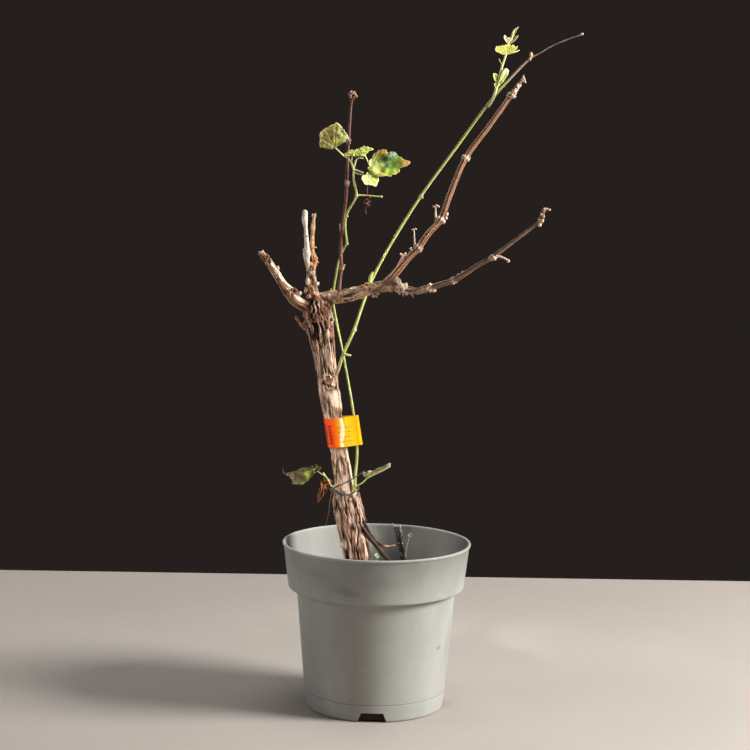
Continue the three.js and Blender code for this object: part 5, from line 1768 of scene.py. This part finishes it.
def tie_wire(finish):
    """The wire's loop round trunk and shoot, its free end, its tail, its turns and a second strand."""
    mesh = new_mesh()
    loop = [
        (-51.5, -7.5, 253.5), (-47.8, -11, 254), (-42.9, -13, 251), (-36.6, -14, 250.3), (-30.8, -13, 250.7),
        (-26, -11, 252.9), (-22.6, -7, 255), (-22, -1, 256.5), (-25.5, 10, 257), (-33, 17, 257),
        (-42, 18.5, 256), (-50, 14, 254), (-54, 6, 252.5), (-54, -2, 252.5), (-51.5, -7.5, 253.5),
    ]
    end = [
        (-51.6, -8, 255), (-46.4, -10, 259.5), (-39.7, -11, 262.3), (-24.4, -11.5, 271.3), (-14.4, -12, 278),
    ]
    tail = [
        (-52, -8.5, 253.5, 0.7), (-54.3, -12, 247, 0.5), (-56.4, -13, 228, 0.42), (-59.1, -13, 213.8, 0.42),
    ]
    turns = []
    for i in range(22):
        angle = i * 0.78
        turns.append((-51.7 + 2.1 * cos(angle), -8.3 + 2.1 * sin(angle), 252.2 + 0.22 * i, 0.72))
    second = [(-48, -11.6, 252.4), (-43.5, -13.2, 249.8), (-37, -14.4, 248.9), (-31, -13.4, 249.4)]
    for stops, spacing, sides in (
        ([(*stop, 0.95) for stop in loop], 0.8, 12), ([(*stop, 0.85) for stop in end], 0.9, 12),
        (tail, 0.9, 10), (turns, 0.6, 10), ([(*stop, 0.7) for stop in second], 0.8, 10),
    ):
        skin(mesh, Limb(stops, spacing), sides, plain(0.3, 0.05))
    piece("tie_wire_turns", mesh, [finish], "tie_wire", "tie_wire")


BAND_HEIGHT = 34.4
BAND_STEPS = (240, 60)  # faces round it and up it
BAND_LEAN = -9.4  # degrees, with the trunk
BAND_TRUNK = Vector((-49.3, 6, 321.5))
BAND_SHOOT = Vector((24.8, -9.8))  # the shoot's place from the trunk's, across and in front
BAND_RADII = (12.3, 4)
BAND_DROOP = 0.05  # how far its free side hangs lower, for its distance from the trunk
BAND_BOW = 0.16  # radians that its front turns through, either side of its middle


def heading_to(turn):
    return Vector((cos(turn), sin(turn)))


def belt(length_round):
    """A place on the belt round trunk and shoot, and the belt's whole length, both in mm."""
    big, small = BAND_RADII
    heading = atan2(BAND_SHOOT.y, BAND_SHOOT.x)
    spread = acos((big - small) / BAND_SHOOT.length)
    leave, meet, back = heading - spread - BAND_BOW, heading - spread + BAND_BOW, heading + spread
    start, end = heading_to(leave) * big, BAND_SHOOT + heading_to(meet) * small
    bow_radius = (end - start).length / (2 * sin(BAND_BOW))
    middle = atan2(end.y - start.y, end.x - start.x) - pi / 2
    straight = sqrt(BAND_SHOOT.length**2 - (big - small) ** 2)
    legs = (big * (2 * pi + leave - back), bow_radius * 2 * BAND_BOW, small * (back - meet), straight)
    left = length_round
    if left < legs[0]:
        return heading_to(back + left / big) * big, sum(legs)
    left -= legs[0]
    if left < legs[1]:
        turn = middle - BAND_BOW
        return start + (heading_to(turn + left / bow_radius) - heading_to(turn)) * bow_radius, sum(legs)
    left -= legs[1]
    if left < legs[2]:
        return BAND_SHOOT + heading_to(meet + left / small) * small, sum(legs)
    left -= legs[2]
    share = min(1, left / straight)
    return (BAND_SHOOT + heading_to(back) * small).lerp(heading_to(back) * big, share), sum(legs)


def printed_rows(draw):
    """Rows of plain dashes: (from, to) round the band and (bottom, top) up it, in mm."""
    rows = []
    for start, end in ((32.6, 35.4), (38.4, 41.6)):
        up = -13.0
        while up < 10:
            tall = draw.uniform(1.2, 3)
            rows.append((start, end, up, up + tall))
            up += tall + draw.uniform(0.7, 1.3)
    for height in (5, 0, -5.5, -11.5):
        round_band = 50.0
        while round_band < 64:
            wide = draw.uniform(1.2, 3)
            rows.append((round_band, round_band + wide, height, height + 1.1))
            round_band += wide + draw.uniform(0.8, 1.6)
    return rows


def colour_band(finish, marks_finish):
    mesh = new_mesh()
    _, tone_mark, grain_mark = marks(mesh)
    whole = belt(0)[1]
    bmesh.ops.create_grid(mesh, x_segments=BAND_STEPS[0], y_segments=BAND_STEPS[1], size=1)
    lean = Matrix.Rotation(radians(BAND_LEAN), 3, "Y")
    for corner in mesh.verts:
        share = (corner.co.x + 1) / 2
        height = corner.co.y * BAND_HEIGHT / 2
        spot, _ = belt((share % 1) * whole)
        ripple = 1 + 0.006 * sin(share * 23 + height / 9)
        flare = 0.12 * sin(height / 7 + share * 9)
        lower = 0.5 + BAND_DROOP * spot.x - 0.5 * sin(share * 11)
        place = Vector((spot.x * ripple, spot.y * ripple, height - lower))
        place += Vector((spot.x, spot.y, 0)).normalized() * flare
        corner.co = (lean @ place + BAND_TRUNK) * MM
        across = spot.x + BAND_RADII[0]
        corner[tone_mark] = clamped(across / (BAND_SHOOT.x + sum(BAND_RADII)))
        corner[grain_mark] = Vector((share * whole, height, 0))
    bmesh.ops.remove_doubles(mesh, verts=mesh.verts, dist=1e-6)
    rows = printed_rows(random.Random(151))
    for face in mesh.faces:
        spots = [corner[grain_mark] for corner in face.verts]
        middle = sum(spots, Vector()) / len(spots)
        if max(spot.x for spot in spots) - min(spot.x for spot in spots) > 5:
            continue
        face.material_index = int(any(a < middle.x < b and c < middle.y < d for a, b, c, d in rows))
    bmesh.ops.recalc_face_normals(mesh, faces=mesh.faces)
    bmesh.ops.solidify(mesh, geom=mesh.faces[:], thickness=0.35 * MM)
    piece("colour_band_tape", mesh, [finish, marks_finish], "colour_band", "colour_band")


# ---------- pot and mix ----------

POT_HEIGHT = 193
RIM_RADIUS = 110
COLLAR_FOOT = (102.4, 140)  # radius and height of the collar's lower edge
SHOULDER_RADIUS = 93
BASE_RADIUS = 81
GROOVE_HEIGHT = 20  # of the fine groove round the pot's foot
WALL = 1.8
FLOOR = 2.5
MIX_LEVEL = 137
NOTCH = (17, 12.5, 11)  # half widths at foot and top, and height
NOTCH_DEPTHS = (-71, -92)  # how far out the cutter starts and ends
NOTCH_TURN = radians(1.7)
MIX_GAP = 0.3  # between the mix and the pot's wall
MIX_RINGS = 46
CRUMB_SPREAD = 86


def wall_radius(height):
    return between(BASE_RADIUS, SHOULDER_RADIUS, height / COLLAR_FOOT[1])


def spun(mesh, profile, steps, rounding):
    """A profile of (radius, height) turned into a vessel, with its sharp corners rounded first."""
    corners = [mesh.verts.new((radius * MM, 0, height * MM)) for radius, height in profile]
    for pair in zip(corners, corners[1:]):
        mesh.edges.new(pair)
    for index, offset in rounding:
        bmesh.ops.bevel(
            mesh, geom=[corners[index]], offset=offset * MM, offset_type="OFFSET", segments=4,
            profile=0.5, affect="VERTICES", material=-1,
        )
    bmesh.ops.spin(
        mesh, geom=mesh.verts[:] + mesh.edges[:], cent=(0, 0, 0), axis=(0, 0, 1), angle=2 * pi,
        steps=steps, use_merge=True,
    )
    bmesh.ops.remove_doubles(mesh, verts=mesh.verts, dist=1e-6)
    bmesh.ops.recalc_face_normals(mesh, faces=mesh.faces)


def notch_cutter():
    """The four drain notches at the pot's foot, as one cutting shape."""
    mesh = bmesh.new()
    foot, top, height = NOTCH
    for i in range(4):
        made = bmesh.ops.create_cube(mesh, size=1)["verts"]
        for corner in made:
            half = foot if corner.co.z < 0 else top
            high = -1 if corner.co.z < 0 else height
            depth = NOTCH_DEPTHS[0] if corner.co.y > 0 else NOTCH_DEPTHS[1]
            corner.co = Vector((copysign(half, corner.co.x), depth, high)) * MM
        turn = i * pi / 2 - NOTCH_TURN
        bmesh.ops.rotate(mesh, verts=made, cent=(0, 0, 0), matrix=Matrix.Rotation(turn, 3, "Z"))
    return formed("notch_cutter", mesh)


def pot(finish):
    mesh = new_mesh()
    groove = wall_radius(GROOVE_HEIGHT)
    foot_radius, foot_height = COLLAR_FOOT
    profile = [
        (0, 0.6), (BASE_RADIUS - 8, 0.6), (BASE_RADIUS - 7, 0), (BASE_RADIUS, 0),
        (wall_radius(3.6), 3.6), (wall_radius(GROOVE_HEIGHT - 1.4), GROOVE_HEIGHT - 1.4),
        (groove, GROOVE_HEIGHT - 0.7), (groove - 0.35, GROOVE_HEIGHT), (groove, GROOVE_HEIGHT + 0.7),
        (wall_radius(GROOVE_HEIGHT + 1.4), GROOVE_HEIGHT + 1.4),
        (SHOULDER_RADIUS, foot_height), (foot_radius, foot_height), (foot_radius + 0.5, foot_height + 4),
        (RIM_RADIUS - 1.5, POT_HEIGHT - 3.6), (RIM_RADIUS, POT_HEIGHT - 2.4), (RIM_RADIUS, POT_HEIGHT),
        (RIM_RADIUS - 3, POT_HEIGHT), (RIM_RADIUS - 3.6, POT_HEIGHT - 3),
        (foot_radius - WALL, foot_height + 2),
        (SHOULDER_RADIUS - WALL, foot_height + 1.8), (BASE_RADIUS - WALL, FLOOR), (0, FLOOR),
    ]
    rounding = [
        (3, 2.2), (10, 0.8), (11, 1.8), (14, 1), (15, 1.1), (16, 0.9), (17, 1), (18, 1.2), (19, 1), (20, 2),
    ]
    spun(mesh, profile, 192, rounding)
    hollow_mark = marks(mesh)[0]
    for corner in mesh.verts:
        radius, height = hypot(corner.co.x, corner.co.y) / MM, corner.co.z / MM
        rise = (height - foot_height) / (POT_HEIGHT - foot_height)
        inner = foot_radius - 0.6 + (RIM_RADIUS - foot_radius) * rise
        # Painted shade: the hollow mark darkens the inner wall above the collar's foot, more towards its
        # right side.
        if foot_height < height < POT_HEIGHT - 1 and radius < inner:
            corner[hollow_mark] = between(0.3, 0.6, smoothstep(-60, 60, corner.co.x / MM))
        # Painted shade: the hollow mark draws a dark line along the groove round the foot.
        if abs(height - GROOVE_HEIGHT) < 0.5 and radius > groove - 1:
            corner[hollow_mark] = 0.7
    made = piece("pot_shell", mesh, [finish], "pot_plastic", "pot")
    cutter = notch_cutter()
    cut = made.modifiers.new("notches", "BOOLEAN")
    cut.operation = "DIFFERENCE"
    cut.solver = "EXACT"
    cut.object = cutter
    shaped = bpy.data.meshes.new_from_object(made.evaluated_get(bpy.context.evaluated_depsgraph_get()))
    made.modifiers.clear()
    made.data = shaped
    bpy.data.objects.remove(cutter)
    made.data.set_sharp_from_angle(angle=radians(38))


def potting_mix(finish):
    mesh = new_mesh()
    side = wall_radius(MIX_LEVEL) - WALL - MIX_GAP
    foot = BASE_RADIUS - WALL - MIX_GAP
    profile = [(0, FLOOR + 0.4), (foot, FLOOR + 0.4), (side, MIX_LEVEL - 2)]
    rings = range(1, MIX_RINGS)
    profile += [(side * (1 - i / MIX_RINGS), MIX_LEVEL - 1.2 / (1 + i)) for i in rings]
    profile.append((0, MIX_LEVEL))
    spun(mesh, profile, 150, [])
    for corner in mesh.verts:
        radius = hypot(corner.co.x, corner.co.y) / MM
        if corner.co.z > (MIX_LEVEL - 3) * MM and radius < side - 1:
            spot = corner.co / MM
            rough = 1.6 * noise.noise(spot / 11) + 1.3 * noise.noise(spot / 3.6)
            rough += 0.7 * noise.noise(spot / 1.5)
            corner.co.z += (rough - 0.8) * MM * smoothstep(0, 8, side - radius)
    piece("potting_mix_bed", mesh, [finish], "potting_mix", "potting_mix")


def mix_crumbs(finish):
    mesh = bmesh.new()
    draw = random.Random(161)
    for _ in range(320):
        turn = draw.uniform(0, 2 * pi)
        radius = CRUMB_SPREAD * sqrt(draw.random())
        size = draw.uniform(0.9, 3.2)
        place = Vector((radius * cos(turn), radius * sin(turn), MIX_LEVEL - 0.6 + 0.2 * size))
        for corner in bmesh.ops.create_icosphere(mesh, subdivisions=1, radius=size)["verts"]:
            spot = corner.co * (1 + 0.4 * noise.noise(corner.co * 0.9 + place))
            corner.co = (place + Vector((spot.x, spot.y * 0.8, spot.z * 0.6))) * MM
    piece("mix_crumbs", mesh, [finish], "potting_mix")


# ---------- camera, light and floor ----------


CAMERA_PLACE = (-0.00487, -2.0, 0.5993)
CAMERA_PITCH = 6.02  # degrees that it looks down
CAMERA_ROLL = 0.87  # degrees
CAMERA_LENS = 83.38
CAMERA_SENSOR = 36
FLOOR_EDGES = (1.6, -1.3, 0.68)  # half its width, its front edge and its back edge, in metres
FLOOR_LEVEL = -0.0002


def camera():
    pitch, roll = radians(CAMERA_PITCH), radians(CAMERA_ROLL)
    right = Vector((cos(roll), sin(roll) * sin(pitch), sin(roll) * cos(pitch)))
    up = Vector((-sin(roll), cos(roll) * sin(pitch), cos(roll) * cos(pitch)))
    back = Vector((0, -cos(pitch), sin(pitch)))
    data = bpy.data.cameras.new("camera")
    data.lens = CAMERA_LENS
    data.sensor_width = CAMERA_SENSOR
    made = placed("camera", data)
    turn = Matrix((right, up, back)).transposed()
    made.matrix_world = Matrix.Translation(CAMERA_PLACE) @ turn.to_4x4()
    bpy.context.scene.camera = made


def soft_light(name, place, aim, size, watts, colour=(1, 1, 1), spread=180):
    data = bpy.data.lights.new(name, "AREA")
    data.spread = radians(spread)
    data.shape = "DISK"
    data.size = size
    data.energy = watts
    data.color = colour
    made = placed(name, data)
    made.location = place
    made.rotation_mode = "QUATERNION"
    made.rotation_quaternion = (Vector(aim) - Vector(place)).to_track_quat("-Z", "Y")


def studio():
    low, high = cad_box
    middle = (low + high) / 2
    soft_light("key_light", (2.02, -0.5, 1.32), middle, 0.9, 120, (1, 0.985, 0.96))
    soft_light("left_light", (-2.0, -0.05, 0.9), middle, 1.0, 11, (0.98, 0.98, 1))
    soft_light("front_light", (0, -2.6, 1.2), middle, 1.2, 1.8)
    soft_light("glare_light", (-0.33, -1.17, 0.1), (-0.044, 0, 0.32), 0.12, 0.037, spread=40)
    soft_light("trunk_light", (-0.55, -0.86, 1.25), (-0.04, 0, 0.28), 0.1, 0.055, (1, 0.95, 0.9), 10)
    soft_light("arm_light", (0.1, -0.9, 1.6), (-0.015, -0.015, 0.485), 0.1, 0.019, spread=6)
    soft_light("top_light", (0.1, 0.2, 2.1), middle, 1.0, 12)
    soft_light("back_light", (-0.9, 1.7, 1.3), middle, 1.0, 5)
    world = bpy.data.worlds.new("studio")
    world.use_nodes = True
    shade = world.node_tree.nodes["Background"]
    shade.inputs["Color"].default_value = (0.0185, 0.0142, 0.0122, 1)
    shade.inputs["Strength"].default_value = 1
    bpy.context.scene.world = world
    bpy.context.scene.view_settings.view_transform = "Standard"


def floor():
    mesh = bmesh.new()
    bmesh.ops.create_grid(mesh, x_segments=4, y_segments=4, size=1)
    wide, front, back = FLOOR_EDGES
    for corner in mesh.verts:
        corner.co = Vector((corner.co.x * wide, between(front, back, (corner.co.y + 1) / 2), FLOOR_LEVEL))
    made = formed("floor", mesh)
    pale = Finish("pale_floor", 0.7, 0.3)
    cloud = pale.noise(pale.place(), 3, 2)
    colour = pale.ramp(cloud, (0.3, tint(168, 160, 152)), (0.7, tint(174, 166, 158)))
    made.data.materials.append(pale.dress(colour))


# ---------- the whole plant ----------

camera()
studio()
floor()

bark = bark_finish()
gnarled = arm_finish()
stripped = stripped_finish()
stems = shoot_finish("green_shoot", (222, 226, 152), (176, 186, 100), (118, 128, 54))
tender = shoot_finish("tender_stems", (252, 252, 200), (240, 240, 164), (204, 208, 116))
dull = shoot_finish("seedling_stem", (176, 184, 150), (128, 138, 104), (90, 98, 70))
dry = tendril_finish()
dark = root_finish()

pot(pot_finish())
mix_material = mix_finish()
potting_mix(mix_material)
mix_crumbs(mix_material)

trunk(bark)
trunk_strips(bark)
arm(gnarled)
arm_shreds(stripped)
left_stub(stripped)
upright_stub(gnarled)
grey_spur(grey_wood_finish())
tan_spur(tan_wood_finish())

thin_cane(thin_cane_finish())
long_cane(long_cane_finish())
low_cane(low_cane_finish())

left_shoot(stems)
right_shoot(stems)
tip_tendril(dry)
left_spray_stalks(tender)
dry_curl(dry)
left_spray_leaves()
right_spray_stalks(tender)
right_spray_leaves()
low_left_leaf(stems)
low_right_leaf(stems)
dead_leaf()

root("upper_root_strand", "upper_root", UPPER_ROOT, dark, 121, (0.7, 0.9))
root("lower_root_strand", "lower_root", LOWER_ROOT, dark, 131)
cane_foot(splinter_finish())
foot_shoot(dull)

tie_wire(wire_finish())
colour_band(band_finish(), print_finish())
